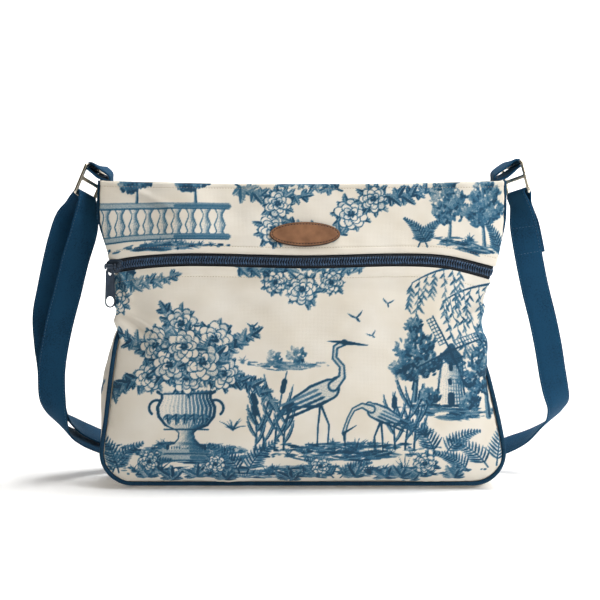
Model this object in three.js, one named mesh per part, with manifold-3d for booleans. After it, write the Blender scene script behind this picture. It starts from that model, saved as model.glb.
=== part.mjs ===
// Zip-front crossbody bag: a stuffed canvas shell on a flat base, piped seams, a front zipper, a leather
// patch and a navy strap hung from two three-bar rings. Millimetres, +X right, +Y back, +Z up, origin at
// the centre of the base.
import * as THREE from "three";
import { mergeVertices } from "three/addons/utils/BufferGeometryUtils.js";
import Module from "manifold-3d";

const wasm = await Module();
wasm.setup();

// Driving dimensions
const WALL = 2; // canvas with its seam allowance
const GAP = 0.4; // clearance between neighbouring pieces
const SEAM_GAP = 0.8; // between the piping and the cloth edges beside it
const PIPING_RADIUS = 2;
const PIPING_SIDES = 6;
const SEAM_HEIGHT = 5; // the base seams stand this far above the floor
const CORNER_RADIUS = 30; // rounded lower corners, at the outside of the piping
const TOP_MIDDLE = 275.5; // height of the top hem at mid-width
const TOP_RISE = 3; // the top hem is this much higher at the sides
const CROWN_POWER = 1.2; // how squarely the stuffed panels stand off their seams
const ZIP_OPENING = 12; // zipper showing between the two front panels
const TAPE_COVER = 4; // zipper tape hidden behind each panel edge
const TAPE_GAP = 1; // between the panels and the tape sewn behind them
const TAPE_THICKNESS = 1;
const COIL_WIDTH = 5;
const STRAP_WIDTH = 25.4;
const STRAP_THICKNESS = 1.8;
const TAB_WIDTH = 20;
const WRAP_RADIUS = 3.7; // middle of the webbing where it turns round a ring's bar

// Outline seen from the front: half-widths to the outside of the piping, and how far the panel laps over it.
const OUTLINE = [
  { z: 5, left: 184, right: 183.5, lapLeft: 0, lapRight: 0 },
  { z: 34, left: 184, right: 183.5, lapLeft: 0, lapRight: 0 },
  { z: 64, left: 180, right: 178.3, lapLeft: 0, lapRight: 0 },
  { z: 102, left: 175.5, right: 169.2, lapLeft: 0, lapRight: 0 },
  { z: 134, left: 170.5, right: 160.5, lapLeft: 0, lapRight: 5 },
  { z: 152, left: 165.5, right: 157.5, lapLeft: 5, lapRight: 5 },
  { z: 174, left: 164.5, right: 163.5, lapLeft: 6, lapRight: 0 },
  { z: 198, left: 171, right: 171.5, lapLeft: 0, lapRight: 0 },
  { z: 224, left: 180.3, right: 180, lapLeft: 0, lapRight: 0 },
  { z: 246, left: 186.4, right: 184.2, lapLeft: 0, lapRight: 0 },
  { z: 280, left: 186, right: 184.2, lapLeft: 0, lapRight: 0 },
];

// Outline seen from the side: depth of the two seams, how far each panel bellies out and the gusset bows.
const PROFILE = [
  { z: 5, seamFront: -38, seamBack: 38, bellyFront: 0, bellyBack: 0, bowLeft: 5, bowRight: 5 },
  { z: 14, seamFront: -38, seamBack: 38, bellyFront: 11, bellyBack: 7, bowLeft: 6, bowRight: 5 },
  { z: 40, seamFront: -38, seamBack: 38, bellyFront: 20, bellyBack: 12, bowLeft: 9, bowRight: 4 },
  { z: 97, seamFront: -36, seamBack: 36, bellyFront: 25, bellyBack: 14, bowLeft: 10, bowRight: 3 },
  { z: 152, seamFront: -33, seamBack: 33, bellyFront: 23, bellyBack: 13, bowLeft: 3, bowRight: 0 },
  { z: 207, seamFront: -29, seamBack: 29, bellyFront: 18, bellyBack: 10, bowLeft: -3, bowRight: -3 },
  { z: 247, seamFront: -23, seamBack: 23, bellyFront: 10, bellyBack: 6, bowLeft: -3, bowRight: -3 },
  { z: 280, seamFront: -19, seamBack: 19, bellyFront: 3, bellyBack: 2, bowLeft: -3, bowRight: -3 },
];

// Upper edge of the zipper slit across the front.
const ZIP_LINE = [
  { x: -180, z: 205.5 },
  { x: -150, z: 211.1 },
  { x: -100, z: 214.1 },
  { x: 0, z: 212.3 },
  { x: 90, z: 214 },
  { x: 130, z: 211.8 },
  { x: 165, z: 203.5 },
  { x: 185, z: 197 },
];

// Soft dents of the front: where each is deepest, its depth, its reach and how far it leans, in degrees.
const DENTS = [
  { x: -150, z: 150, depth: 6, reachX: 15, reachZ: 24, lean: 20 },
  { x: 150, z: 166, depth: 6, reachX: 16, reachZ: 26, lean: -16 },
  { x: 60, z: 184, depth: 3, reachX: 70, reachZ: 9, lean: -4 },
  { x: -70, z: 188, depth: 3, reachX: 50, reachZ: 9, lean: 4 },
];

// Gusset from its front seam (0) to its back seam (1): share of the bow on the base and on the sides.
const GUSSET_ARCH = [
  { depth: 0, base: 0, side: 0 },
  { depth: 0.07, base: 0.72, side: 0.3 },
  { depth: 0.17, base: 1, side: 0.62 },
  { depth: 0.5, base: 1, side: 1 },
  { depth: 0.83, base: 1, side: 0.62 },
  { depth: 0.93, base: 0.72, side: 0.3 },
  { depth: 1, base: 0, side: 0 },
];

// Rings: middle of the centre bar, direction across the ring to its outer front end, and direction up it.
const RING = { width: 33.4, top: 13, bottom: -14.5, bar: 3, thickness: 2.2 };
const RINGS = {
  left: { centre: [-195.9, -0.5, 276.6], across: [-0.45, -0.86, 0.33], up: [0.27, 0, 0.93] },
  right: { centre: [194.3, 0, 279.6], across: [0.506, -0.849, 0.22], up: [-0.16, 0, 0.99] },
};

// Strap stations: middle of the webbing and the direction across it. The rear layer runs from the adjuster
// up to the left ring.
const STRAP_REAR = [
  { x: -53, y: 75, z: 14.2, ax: 0, ay: 1, az: 0 },
  { x: -68, y: 75, z: 10, ax: 0, ay: 1, az: 0 },
  { x: -110, y: 75, z: 7, ax: 0, ay: 1, az: 0 },
  { x: -138, y: 75, z: 11, ax: 0, ay: 1, az: 0.08 },
  { x: -168, y: 72, z: 24, ax: -0.1, ay: 0.96, az: 0.25 },
  { x: -192, y: 62, z: 36, ax: -0.25, ay: 0.85, az: 0.45 },
  { x: -211, y: 45, z: 48, ax: -0.4, ay: 0.72, az: 0.57 },
  { x: -224, y: 29, z: 59, ax: -0.55, ay: 0.72, az: 0.42 },
  { x: -231, y: 15, z: 71, ax: -0.85, ay: 0.5, az: 0.15 },
  { x: -233, y: 9, z: 85, ax: -1, ay: 0.12, az: -0.05 },
  { x: -233.6, y: 8, z: 105, ax: -1, ay: 0.05, az: -0.1 },
  { x: -236.4, y: 9, z: 126.5, ax: -1, ay: 0, az: -0.06 },
  { x: -237.8, y: 10, z: 153, ax: -0.99, ay: 0, az: 0.1 },
  { x: -233.6, y: 10, z: 176.5, ax: -0.98, ay: 0, az: 0.2 },
  { x: -228.5, y: 9, z: 200, ax: -0.97, ay: 0, az: 0.22 },
  { x: -222.5, y: 8, z: 224, ax: -0.95, ay: -0.25, az: 0.15 },
  { x: -215.5, y: 6.5, z: 246, ax: -0.8, ay: -0.55, az: 0.2 },
  { x: -209, y: 4, z: 255, ax: -0.6, ay: -0.75, az: 0.3 },
];
// The front layer runs down from the left ring, folds back behind the bag, lies on the floor, passes over the
// adjuster's side bars and rises to the right ring.
const STRAP_FRONT = [
  { x: -199, y: -4.6, z: 253, ax: -0.6, ay: -0.76, az: 0.25 },
  { x: -201.6, y: -5, z: 233.5, ax: -0.95, ay: -0.28, az: 0.15 },
  { x: -208.3, y: -5, z: 206, ax: -0.97, ay: 0, az: 0.24 },
  { x: -215.4, y: -5, z: 177.5, ax: -0.97, ay: 0, az: 0.24 },
  { x: -222.5, y: -5, z: 151, ax: -0.97, ay: 0.02, az: 0.22 },
  { x: -227.7, y: -4, z: 128, ax: -0.98, ay: 0.03, az: 0.18 },
  { x: -231.2, y: -3, z: 104, ax: -1, ay: 0.05, az: 0.05 },
  { x: -231.2, y: -2, z: 80, ax: -1, ay: 0.08, az: -0.02 },
  { x: -229, y: 5, z: 64, ax: -0.86, ay: 0.48, az: 0.16 },
  { x: -222.5, y: 18, z: 51, ax: -0.58, ay: 0.66, az: 0.48 },
  { x: -210, y: 36, z: 40, ax: -0.45, ay: 0.72, az: 0.53 },
  { x: -192.5, y: 53, z: 29, ax: -0.3, ay: 0.85, az: 0.42 },
  { x: -170, y: 66, z: 16.5, ax: -0.15, ay: 0.96, az: 0.25 },
  { x: -140, y: 73, z: 6.5, ax: -0.05, ay: 0.99, az: 0.08 },
  { x: -110, y: 75, z: 3.4, ax: 0, ay: 1, az: 0 },
  { x: -68, y: 75, z: 6.2, ax: 0, ay: 1, az: 0 },
  { x: -53, y: 75, z: 11.2, ax: 0, ay: 1, az: 0 },
  { x: -40, y: 75, z: 2.2, ax: 0, ay: 1, az: 0 },
  { x: -27, y: 75, z: 11.2, ax: 0, ay: 1, az: 0 },
  { x: -12, y: 75, z: 5, ax: 0, ay: 1, az: 0 },
  { x: 12, y: 75, z: 1.5, ax: 0, ay: 1, az: 0 },
  { x: 60, y: 75, z: 1.3, ax: 0, ay: 1, az: 0 },
  { x: 105, y: 75, z: 2, ax: 0, ay: 1, az: 0 },
  { x: 138, y: 72, z: 6.5, ax: 0, ay: 0.99, az: 0.12 },
  { x: 168, y: 66, z: 16, ax: 0.05, ay: 0.93, az: 0.36 },
  { x: 194, y: 58, z: 27.5, ax: 0.1, ay: 0.86, az: 0.5 },
  { x: 211, y: 49, z: 36.5, ax: 0.2, ay: 0.9, az: 0.37 },
  { x: 225, y: 37, z: 49.5, ax: 0.35, ay: 0.93, az: 0.1 },
  { x: 234, y: 22, z: 60.5, ax: 0.5, ay: 0.86, az: 0.07 },
  { x: 237, y: 8, z: 72.5, ax: 0.82, ay: 0.56, az: 0.12 },
  { x: 233, y: 0, z: 86.5, ax: 0.98, ay: 0.18, az: 0.1 },
  { x: 229.6, y: -3, z: 102, ax: 0.99, ay: 0.05, az: 0.13 },
  { x: 225.2, y: -5, z: 127, ax: 0.98, ay: 0, az: 0.17 },
  { x: 219.7, y: -5, z: 152.5, ax: 0.97, ay: 0, az: 0.22 },
  { x: 213.2, y: -5, z: 178, ax: 0.98, ay: 0, az: 0.2 },
  { x: 207.3, y: -5, z: 205.5, ax: 0.98, ay: -0.05, az: 0.18 },
  { x: 202.2, y: -5, z: 233, ax: 0.97, ay: -0.25, az: 0.1 },
  { x: 198, y: -5, z: 256, ax: 0.58, ay: -0.8, az: 0.18 },
];
// The sewn tail hangs behind the right end of the strap.
const STRAP_TAIL = [
  { x: 200.5, y: -0.5, z: 256, ax: 0.58, ay: -0.8, az: 0.18 },
  { x: 205, y: -1.8, z: 233, ax: 0.97, ay: -0.25, az: 0.1 },
  { x: 209.5, y: -1.6, z: 211, ax: 0.98, ay: -0.05, az: 0.18 },
];

// Slide adjuster, lying on the floor behind the bag.
const ADJUSTER = { x: -40, y: 75, z: 8, width: 33.4, top: 13, bottom: -13, bar: 2.4, thickness: 2.4 };

// Tabs: webbing loops from inside the gusset's top edge up and over the rings' top bars.
const TAB_SEWN = 14; // depth sewn in below the top edge

// Leather patch
const PATCH = { x: 1.8, z: 230, width: 63, height: 21.5, thickness: 2 };

// Zipper slider and its pull
const SLIDER = { x: -169.2, z: 201.8, length: 14.4, height: 13, thickness: 3, tilt: 5 };
const BRIDGE = { x: -173, z: 201.5, span: 9.6, legWidth: 1.4, legHeight: 2.4, barRadius: 0.9, reach: 4.2 };
const PULL = { length: 39.2, topWidth: 7.5, bottomWidth: 9.4, thickness: 1.6 };
const KNUCKLE = { radius: 2.3, bore: 1.3, width: 5 };
const PULL_EYE = { width: 6.9, height: 9, rim: 1.3 };
const PULL_SLOT = { width: 2.6, height: 4.6, below: 3.2 };

const FABRIC = { color: 0xdcd6cb, roughness: 0.9 };
const NAVY = { color: 0x1f3d54, roughness: 0.85 };
const NICKEL = { color: 0xb9b3a6, roughness: 0.25, metalness: 1 };
const GUNMETAL = { color: 0x33404c, roughness: 0.4, metalness: 0.8 };
const LEATHER = { color: 0x846048, roughness: 0.6 };

const bag = new THREE.Group();

function add(name, geometry, material) {
  const mesh = new THREE.Mesh(geometry, new THREE.MeshStandardMaterial(material));
  mesh.name = name;
  bag.add(mesh);
}

// A smooth curve through one column of a table, read at any value of its first column.
function column(rows, key, name) {
  const slope = rows.map((row, i) => {
    const before = rows[Math.max(i - 1, 0)];
    const after = rows[Math.min(i + 1, rows.length - 1)];
    return (after[name] - before[name]) / (after[key] - before[key]);
  });
  return (value) => {
    let i = rows.findIndex((row) => row[key] > value) - 1;
    if (i < -1) i = rows.length - 2;
    i = Math.max(i, 0);
    const step = rows[i + 1][key] - rows[i][key];
    const s = THREE.MathUtils.clamp((value - rows[i][key]) / step, 0, 1);
    const rise = rows[i + 1][name] - rows[i][name];
    const first = slope[i] * step;
    const last = slope[i + 1] * step;
    const bend = 3 * rise - 2 * first - last;
    return rows[i][name] + first * s + bend * s * s + (first + last - 2 * rise) * s ** 3;
  };
}

const halfWidth = { left: column(OUTLINE, "z", "left"), right: column(OUTLINE, "z", "right") };
const lap = { left: column(OUTLINE, "z", "lapLeft"), right: column(OUTLINE, "z", "lapRight") };
const bow = { left: column(PROFILE, "z", "bowLeft"), right: column(PROFILE, "z", "bowRight") };
const seamFront = column(PROFILE, "z", "seamFront");
const seamBack = column(PROFILE, "z", "seamBack");
const bellyFront = column(PROFILE, "z", "bellyFront");
const bellyBack = column(PROFILE, "z", "bellyBack");
const zipLine = column(ZIP_LINE, "x", "z");
const topLine = (x) => TOP_MIDDLE + TOP_RISE * (x / 182) ** 2;
const sideOf = (x) => (x < 0 ? "left" : "right");

// Half-width at a height, drawn in from the outside of the piping and rounded at the lower corners.
function edgeAt(side, z, inset) {
  const straight = halfWidth[side](z) - inset;
  const radius = CORNER_RADIUS - inset;
  const below = Math.min(Math.max(SEAM_HEIGHT - PIPING_RADIUS + CORNER_RADIUS - z, 0), radius);
  return straight - radius + Math.sqrt(radius * radius - below * below);
}

const PANEL_INSET = 2 * PIPING_RADIUS + SEAM_GAP; // from the outside of the piping to the edge of a panel

function dentAt(x, z) {
  let total = 0;
  for (const dent of DENTS) {
    const lean = THREE.MathUtils.degToRad(dent.lean);
    const across = (x - dent.x) * Math.cos(lean) + (z - dent.z) * Math.sin(lean);
    const along = (z - dent.z) * Math.cos(lean) - (x - dent.x) * Math.sin(lean);
    total += dent.depth * Math.exp(-((across / dent.reachX) ** 2) - (along / dent.reachZ) ** 2);
  }
  return total;
}

// A point of the front cloth: t runs from -1 at the left seam to 1 at the right seam.
function frontPoint(t, z) {
  const side = sideOf(t);
  const edge = edgeAt(side, z, PANEL_INSET);
  const over = Math.max(lap[side](z), 0);
  const swell = Math.sqrt((over + (over > 0 ? PANEL_INSET * Math.min(over / 5, 1) : 0)) * edge / 2);
  const angle = (Math.PI / 2) * t;
  const x = edge * Math.sin(angle) + swell * Math.sin(2 * angle);
  const crown = Math.max(Math.cos(angle), 0) ** CROWN_POWER;
  const dent = dentAt(x, z) * Math.min(1, 4 * crown);
  return new THREE.Vector3(x, seamFront(z) - bellyFront(z) * crown + dent, z);
}

function backPoint(t, z) {
  const angle = (Math.PI / 2) * t;
  const x = edgeAt(sideOf(t), z, PANEL_INSET) * Math.sin(angle);
  const crown = Math.max(Math.cos(angle), 0) ** CROWN_POWER;
  return new THREE.Vector3(x, seamBack(z) + bellyBack(z) * crown, z);
}

// Where t lies for a given x on the front, away from the laps.
const acrossAt = (x, z) => Math.asin(x / edgeAt(sideOf(x), z, PANEL_INSET)) / (Math.PI / 2);

// Faces that point outwards: the triangles are turned round if the closed body comes out inside out.
function closedBody(positions, triangles) {
  const corner = (i) => new THREE.Vector3().fromArray(positions, 3 * i);
  let volume = 0;
  for (let i = 0; i < triangles.length; i += 3) {
    const [a, b, c] = [corner(triangles[i]), corner(triangles[i + 1]), corner(triangles[i + 2])];
    volume += a.dot(b.cross(c));
  }
  if (volume < 0) triangles.reverse();
  const geometry = new THREE.BufferGeometry();
  geometry.setAttribute("position", new THREE.Float32BufferAttribute(positions, 3));
  geometry.setIndex(triangles);
  return geometry;
}

// A wall over a grid of points: the face at one offset inside the cloth's outer face and the face at another.
// Its end columns take the slope just inside them, so that the inner face doesn't fold at a tight edge.
const EDGE_TURN = 0.025; // share of the width
function wall(columns, rows, pointAt, inward, from, to) {
  const small = 1e-3;
  const positions = [];
  for (const offset of [from, to]) {
    for (let j = 0; j <= rows; j++) {
      for (let i = 0; i <= columns; i++) {
        const [u, v] = [i / columns, j / rows];
        const near = THREE.MathUtils.clamp(u, EDGE_TURN, 1 - EDGE_TURN);
        const across = pointAt(near + small, v).sub(pointAt(near - small, v));
        const along = pointAt(near, Math.min(v + small, 1)).sub(pointAt(near, Math.max(v - small, 0)));
        const normal = across.cross(along).normalize().multiplyScalar(inward * offset);
        positions.push(...pointAt(u, v).add(normal).toArray());
      }
    }
  }
  const layer = (columns + 1) * (rows + 1);
  const at = (i, j, face) => face * layer + j * (columns + 1) + i;
  const triangles = [];
  const quad = (a, b, c, d) => triangles.push(a, b, c, a, c, d);
  for (let j = 0; j < rows; j++) {
    for (let i = 0; i < columns; i++) {
      quad(at(i, j, 0), at(i + 1, j, 0), at(i + 1, j + 1, 0), at(i, j + 1, 0));
      quad(at(i, j, 1), at(i, j + 1, 1), at(i + 1, j + 1, 1), at(i + 1, j, 1));
    }
  }
  for (let i = 0; i < columns; i++) {
    quad(at(i, 0, 0), at(i, 0, 1), at(i + 1, 0, 1), at(i + 1, 0, 0));
    quad(at(i, rows, 0), at(i + 1, rows, 0), at(i + 1, rows, 1), at(i, rows, 1));
  }
  for (let j = 0; j < rows; j++) {
    quad(at(0, j, 0), at(0, j + 1, 0), at(0, j + 1, 1), at(0, j, 1));
    quad(at(columns, j, 0), at(columns, j, 1), at(columns, j + 1, 1), at(columns, j + 1, 0));
  }
  return closedBody(positions, triangles);
}

// Front panels, zipper tape and coil all follow the same cloth surface.
const lowest = SEAM_HEIGHT + PIPING_RADIUS + SEAM_GAP;
const zipAt = (t) => zipLine(frontPoint(t, zipLine(176 * Math.sin((Math.PI / 2) * t))).x);
const topAt = (t) => topLine(179 * Math.sin((Math.PI / 2) * t));
const between = (low, high) => (u, v) => {
  const t = 2 * u - 1;
  return frontPoint(t, THREE.MathUtils.lerp(low(t), high(t), v));
};
// Rows close up towards the base.
const rising = (surface) => (u, v) => surface(u, 1 - Math.cos((Math.PI / 2) * v));

const lowerFront = rising(between(() => lowest, (t) => zipAt(t) - ZIP_OPENING));
const PANEL_COLUMNS = 26;
add("front_lower_panel", wall(PANEL_COLUMNS, 15, lowerFront, -1, 0, WALL), FABRIC);
add("front_upper_panel", wall(PANEL_COLUMNS, 6, between(zipAt, topAt), -1, 0, WALL), FABRIC);
const backSurface = (u, v) => {
  const t = 2 * u - 1;
  return backPoint(t, THREE.MathUtils.lerp(lowest, topAt(t), v));
};
add("back_panel", wall(20, 16, rising(backSurface), 1, 0, WALL), FABRIC);

const COIL_SUNK = GAP; // the coil lies just inside the panels' outer faces
const tapeFace = WALL + TAPE_GAP;
const ZIP_MIDDLE = ZIP_OPENING / 2;
const TAPE_START = 6 / PANEL_COLUMNS - 1; // t where the tape starts, behind the slider
const TAPE_END = 1 - 2 / PANEL_COLUMNS; // t where it stops, one column short of the right seam
const SLIDER_END = -0.87; // t where the slider's mouth meets the coil
const COIL_END = 0.98;
const zipBand = (below, above) => between((t) => zipAt(t) - below, (t) => zipAt(t) + above);
const stretch = (band, start, end) => (u, v) => band((1 + THREE.MathUtils.lerp(start, end, u)) / 2, v);
const tape = stretch(zipBand(ZIP_OPENING + TAPE_COVER, TAPE_COVER), TAPE_START, TAPE_END);
add("zipper_tape", wall(PANEL_COLUMNS - 4, 2, tape, -1, tapeFace, tapeFace + TAPE_THICKNESS), NAVY);
const coilBand = zipBand(ZIP_MIDDLE + COIL_WIDTH / 2, COIL_WIDTH / 2 - ZIP_MIDDLE);
const coil = stretch(coilBand, SLIDER_END, COIL_END);
add("zipper_coil", wall(PANEL_COLUMNS, 2, coil, -1, COIL_SUNK, tapeFace - 2 * GAP), GUNMETAL);

// The seam path round the bag, from the top left down, along the base and up to the top right.
const SIDE_STEPS = 13;
const CORNER_STEPS = 8;
const BASE_STEPS = 8;
const cornerTop = SEAM_HEIGHT - PIPING_RADIUS + CORNER_RADIUS;

function seamSide(side) {
  const sign = side === "left" ? -1 : 1;
  const points = [];
  for (let i = 0; i < SIDE_STEPS; i++) {
    const z = THREE.MathUtils.lerp(topLine(180), cornerTop, i / SIDE_STEPS);
    points.push({ x: sign * edgeAt(side, z, PIPING_RADIUS), z, turn: 0, side });
  }
  const radius = CORNER_RADIUS - PIPING_RADIUS;
  const centre = halfWidth[side](cornerTop) - CORNER_RADIUS;
  for (let i = 0; i <= CORNER_STEPS; i++) {
    const angle = (Math.PI / 2) * (i / CORNER_STEPS);
    const x = sign * (centre + radius * Math.cos(angle));
    points.push({ x, z: cornerTop - radius * Math.sin(angle), turn: i / CORNER_STEPS, side });
  }
  return points;
}

const leftSide = seamSide("left");
const rightSide = seamSide("right").reverse();
const basePoints = [];
for (let i = 1; i < BASE_STEPS; i++) {
  const x = THREE.MathUtils.lerp(leftSide.at(-1).x, rightSide[0].x, i / BASE_STEPS);
  basePoints.push({ x, z: SEAM_HEIGHT, turn: 1, side: sideOf(x) });
}
const seamPath = [...leftSide, ...basePoints, ...rightSide];

// Behind a lap the front seam lies further back, under the panel that covers it.
const LAP_SETBACK = 5;
const LAP_START = 0.7; // the lap at which most of the setback is reached
function seamFrontAt({ z, side }) {
  const covered = 1 - Math.exp(-Math.max(lap[side](z), 0) / LAP_START);
  return seamFront(z) + LAP_SETBACK * covered;
}

function gussetPoint(u, v) {
  const place = u * (seamPath.length - 1);
  const i = Math.min(Math.floor(place), seamPath.length - 2);
  const [a, b, share] = [seamPath[i], seamPath[i + 1], place - i];
  const mix = (read) => THREE.MathUtils.lerp(read(a), read(b), share);
  const [before, after] = [seamPath[Math.max(i - 1, 0)], seamPath[Math.min(i + 2, seamPath.length - 1)]];
  const startWay = new THREE.Vector2(b.x - before.x, b.z - before.z).normalize();
  const endWay = new THREE.Vector2(after.x - a.x, after.z - a.z).normalize();
  const way = startWay.lerp(endWay, share).normalize();
  const row = v * (GUSSET_ARCH.length - 1);
  const k = Math.min(Math.floor(row), GUSSET_ARCH.length - 2);
  const arch = (name) => THREE.MathUtils.lerp(GUSSET_ARCH[k][name], GUSSET_ARCH[k + 1][name], row - k);
  const edge = PIPING_RADIUS + SEAM_GAP;
  const y = THREE.MathUtils.lerp(mix(seamFrontAt) + edge, mix((s) => seamBack(s.z)) - edge, arch("depth"));
  const turn = mix((s) => s.turn);
  const sideRise = mix((s) => bow[s.side](s.z)) * arch("side");
  const rise = THREE.MathUtils.lerp(sideRise, SEAM_HEIGHT * arch("base"), turn);
  return new THREE.Vector3(mix((s) => s.x) + way.y * rise, y, mix((s) => s.z) - way.x * rise);
}
const gussetWall = wall(seamPath.length - 1, GUSSET_ARCH.length - 1, gussetPoint, 1, 0, WALL);
add("gusset", gussetWall, FABRIC);

// A section swept through stations, each with a middle point and a direction across the section.
function sweep(stations, section, perStretch) {
  const curve = new THREE.CatmullRomCurve3(stations.map((s) => s.point), false, "centripetal");
  const steps = (stations.length - 1) * perStretch;
  const sides = section.length;
  const positions = [];
  for (let i = 0; i <= steps; i++) {
    const place = i / perStretch;
    const k = Math.min(Math.floor(place), stations.length - 2);
    const tangent = curve.getTangent(i / steps);
    const across = stations[k].across.clone().lerp(stations[k + 1].across, place - k);
    across.addScaledVector(tangent, -across.dot(tangent)).normalize();
    const up = tangent.clone().cross(across);
    for (const [a, b] of section) {
      const corner = curve.getPoint(i / steps).addScaledVector(across, a).addScaledVector(up, b);
      positions.push(...corner.toArray());
    }
  }
  const triangles = [];
  for (let i = 0; i < steps; i++) {
    for (let k = 0; k < sides; k++) {
      const [a, b] = [sides * i + k, sides * i + ((k + 1) % sides)];
      triangles.push(a, b, b + sides, a, b + sides, a + sides);
    }
  }
  const last = sides * steps;
  for (let k = 1; k < sides - 1; k++) {
    triangles.push(0, k + 1, k, last, last + k, last + k + 1);
  }
  return closedBody(positions, triangles);
}
function webbing(stations, width) {
  const [a, b] = [width / 2, STRAP_THICKNESS / 2];
  return sweep(stations, [[a, b], [-a, b], [-a, -b], [a, -b]], 2);
}
const pipingSection = Array.from({ length: PIPING_SIDES }, (_, i) => {
  const angle = (2 * Math.PI * i) / PIPING_SIDES;
  return [PIPING_RADIUS * Math.cos(angle), PIPING_RADIUS * Math.sin(angle)];
});
const intoBag = new THREE.Vector3(0, 1, 0);
function piping(depthAt) {
  const along = seamPath.map((s) => ({ point: new THREE.Vector3(s.x, depthAt(s), s.z), across: intoBag }));
  return sweep(along, pipingSection, 1);
}
add("piping_front", piping(seamFrontAt), NAVY);
add("piping_back", piping((s) => seamBack(s.z)), NAVY);

const station = (row) => ({
  point: new THREE.Vector3(row.x, row.y, row.z),
  across: new THREE.Vector3(row.ax, row.ay, row.az),
});

// Ring axes: across, up and the normal that faces the front.
function ringFrame(ring) {
  const across = new THREE.Vector3(...ring.across).normalize();
  const up = new THREE.Vector3(...ring.up);
  up.addScaledVector(across, -up.dot(across)).normalize();
  const normal = across.clone().cross(up);
  if (normal.y > 0) normal.negate();
  return { centre: new THREE.Vector3(...ring.centre), across, up, normal };
}

// Stations of webbing round a bar, turning from one side of it to the other over the given way.
function roundBar(frame, height, start, over, radius = WRAP_RADIUS) {
  const middle = frame.centre.clone().addScaledVector(frame.up, height);
  const stations = [];
  const turns = 4;
  for (let i = 0; i <= turns; i++) {
    const angle = Math.PI * (i / turns);
    const point = middle.clone();
    point.addScaledVector(start, radius * Math.cos(angle));
    point.addScaledVector(over, radius * Math.sin(angle));
    stations.push({ point, across: frame.across.clone() });
  }
  return stations;
}

const leftRing = ringFrame(RINGS.left);
const rightRing = ringFrame(RINGS.right);
const leftTurn = roundBar(leftRing, RING.bottom, leftRing.normal.clone().negate(), leftRing.up);
const rightTurn = roundBar(rightRing, RING.bottom, rightRing.normal, rightRing.up);
const adjusterFrame = {
  centre: new THREE.Vector3(ADJUSTER.x, ADJUSTER.y, ADJUSTER.z),
  across: new THREE.Vector3(0, 1, 0),
  up: new THREE.Vector3(1, 0, 0),
};
const adjusterTurn = roundBar(adjusterFrame, 0, new THREE.Vector3(0, 0, -1), adjusterFrame.up, 3.1);
const strapStations = [
  ...adjusterTurn,
  ...STRAP_REAR.map(station),
  ...leftTurn,
  ...STRAP_FRONT.map(station),
  ...rightTurn,
  ...STRAP_TAIL.map(station),
];
add("strap", webbing(strapStations, STRAP_WIDTH), NAVY);

function plate(shape, depth, curveSegments = 3) {
  return new THREE.ExtrudeGeometry(shape, { depth, bevelEnabled: false, curveSegments });
}
function roundedRectangle(width, bottom, top, radius, Kind) {
  const shape = new Kind();
  const half = width / 2;
  shape.moveTo(-half + radius, bottom);
  shape.lineTo(half - radius, bottom);
  shape.absarc(half - radius, bottom + radius, radius, -Math.PI / 2, 0, false);
  shape.lineTo(half, top - radius);
  shape.absarc(half - radius, top - radius, radius, 0, Math.PI / 2, false);
  shape.lineTo(-half + radius, top);
  shape.absarc(-half + radius, top - radius, radius, Math.PI / 2, Math.PI, false);
  shape.lineTo(-half, bottom + radius);
  shape.absarc(-half + radius, bottom + radius, radius, Math.PI, 1.5 * Math.PI, false);
  return shape;
}

// A flat frame of three bars: the middle one lies on the frame's centre.
function threeBar(frame, size) {
  const half = size.bar / 2;
  const shape = roundedRectangle(size.width, size.bottom - half, size.top + half, size.bar, THREE.Shape);
  const window = size.width - 2 * size.bar;
  shape.holes.push(roundedRectangle(window, half, size.top - half, 0.8, THREE.Path));
  shape.holes.push(roundedRectangle(window, size.bottom + half, -half, 0.8, THREE.Path));
  const geometry = plate(shape, size.thickness).translate(0, 0, -size.thickness / 2);
  const normal = frame.across.clone().cross(frame.up);
  const placed = new THREE.Matrix4().makeBasis(frame.across, frame.up, normal).setPosition(frame.centre);
  return geometry.applyMatrix4(placed);
}
add("ring_left", threeBar(leftRing, RING), NICKEL);
add("ring_right", threeBar(rightRing, RING), NICKEL);
add("strap_adjuster", threeBar(adjusterFrame, ADJUSTER), NICKEL);

// Each tab rises from inside the gusset, arches out over the ring's top bar and comes back under itself.
function tabStations(side, frame) {
  const sign = side === "left" ? -1 : 1;
  const top = topLine(180);
  const inside = halfWidth[side](top) - PIPING_RADIUS + bow[side](top) - WALL - GAP - STRAP_THICKNESS / 2;
  const layer = STRAP_THICKNESS + GAP;
  const sewn = new THREE.Vector3(0, -1, 0);
  const at = (x, z, turn) => ({
    point: new THREE.Vector3(sign * x, 0, z),
    across: sewn.clone().lerp(frame.across, turn),
  });
  const bar = roundBar(frame, RING.top, frame.up, frame.normal.clone().negate());
  return [
    at(inside - layer, top - TAB_SEWN, 0),
    at(inside - layer, top + 1, 0),
    at(inside - layer + 0.6, top + 5.5, 0.2),
    at(inside + 5.5, top + 11.5, 0.6),
    ...bar,
    at(inside + 8, top + 4, 0.9),
    at(inside + 2.4, top + 1.9, 0.4),
    at(inside, top + 0.3, 0.1),
    at(inside, top - TAB_SEWN, 0),
  ];
}
add("tab_left", webbing(tabStations("left", leftRing), TAB_WIDTH), NAVY);
add("tab_right", webbing(tabStations("right", rightRing), TAB_WIDTH), NAVY);

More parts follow.
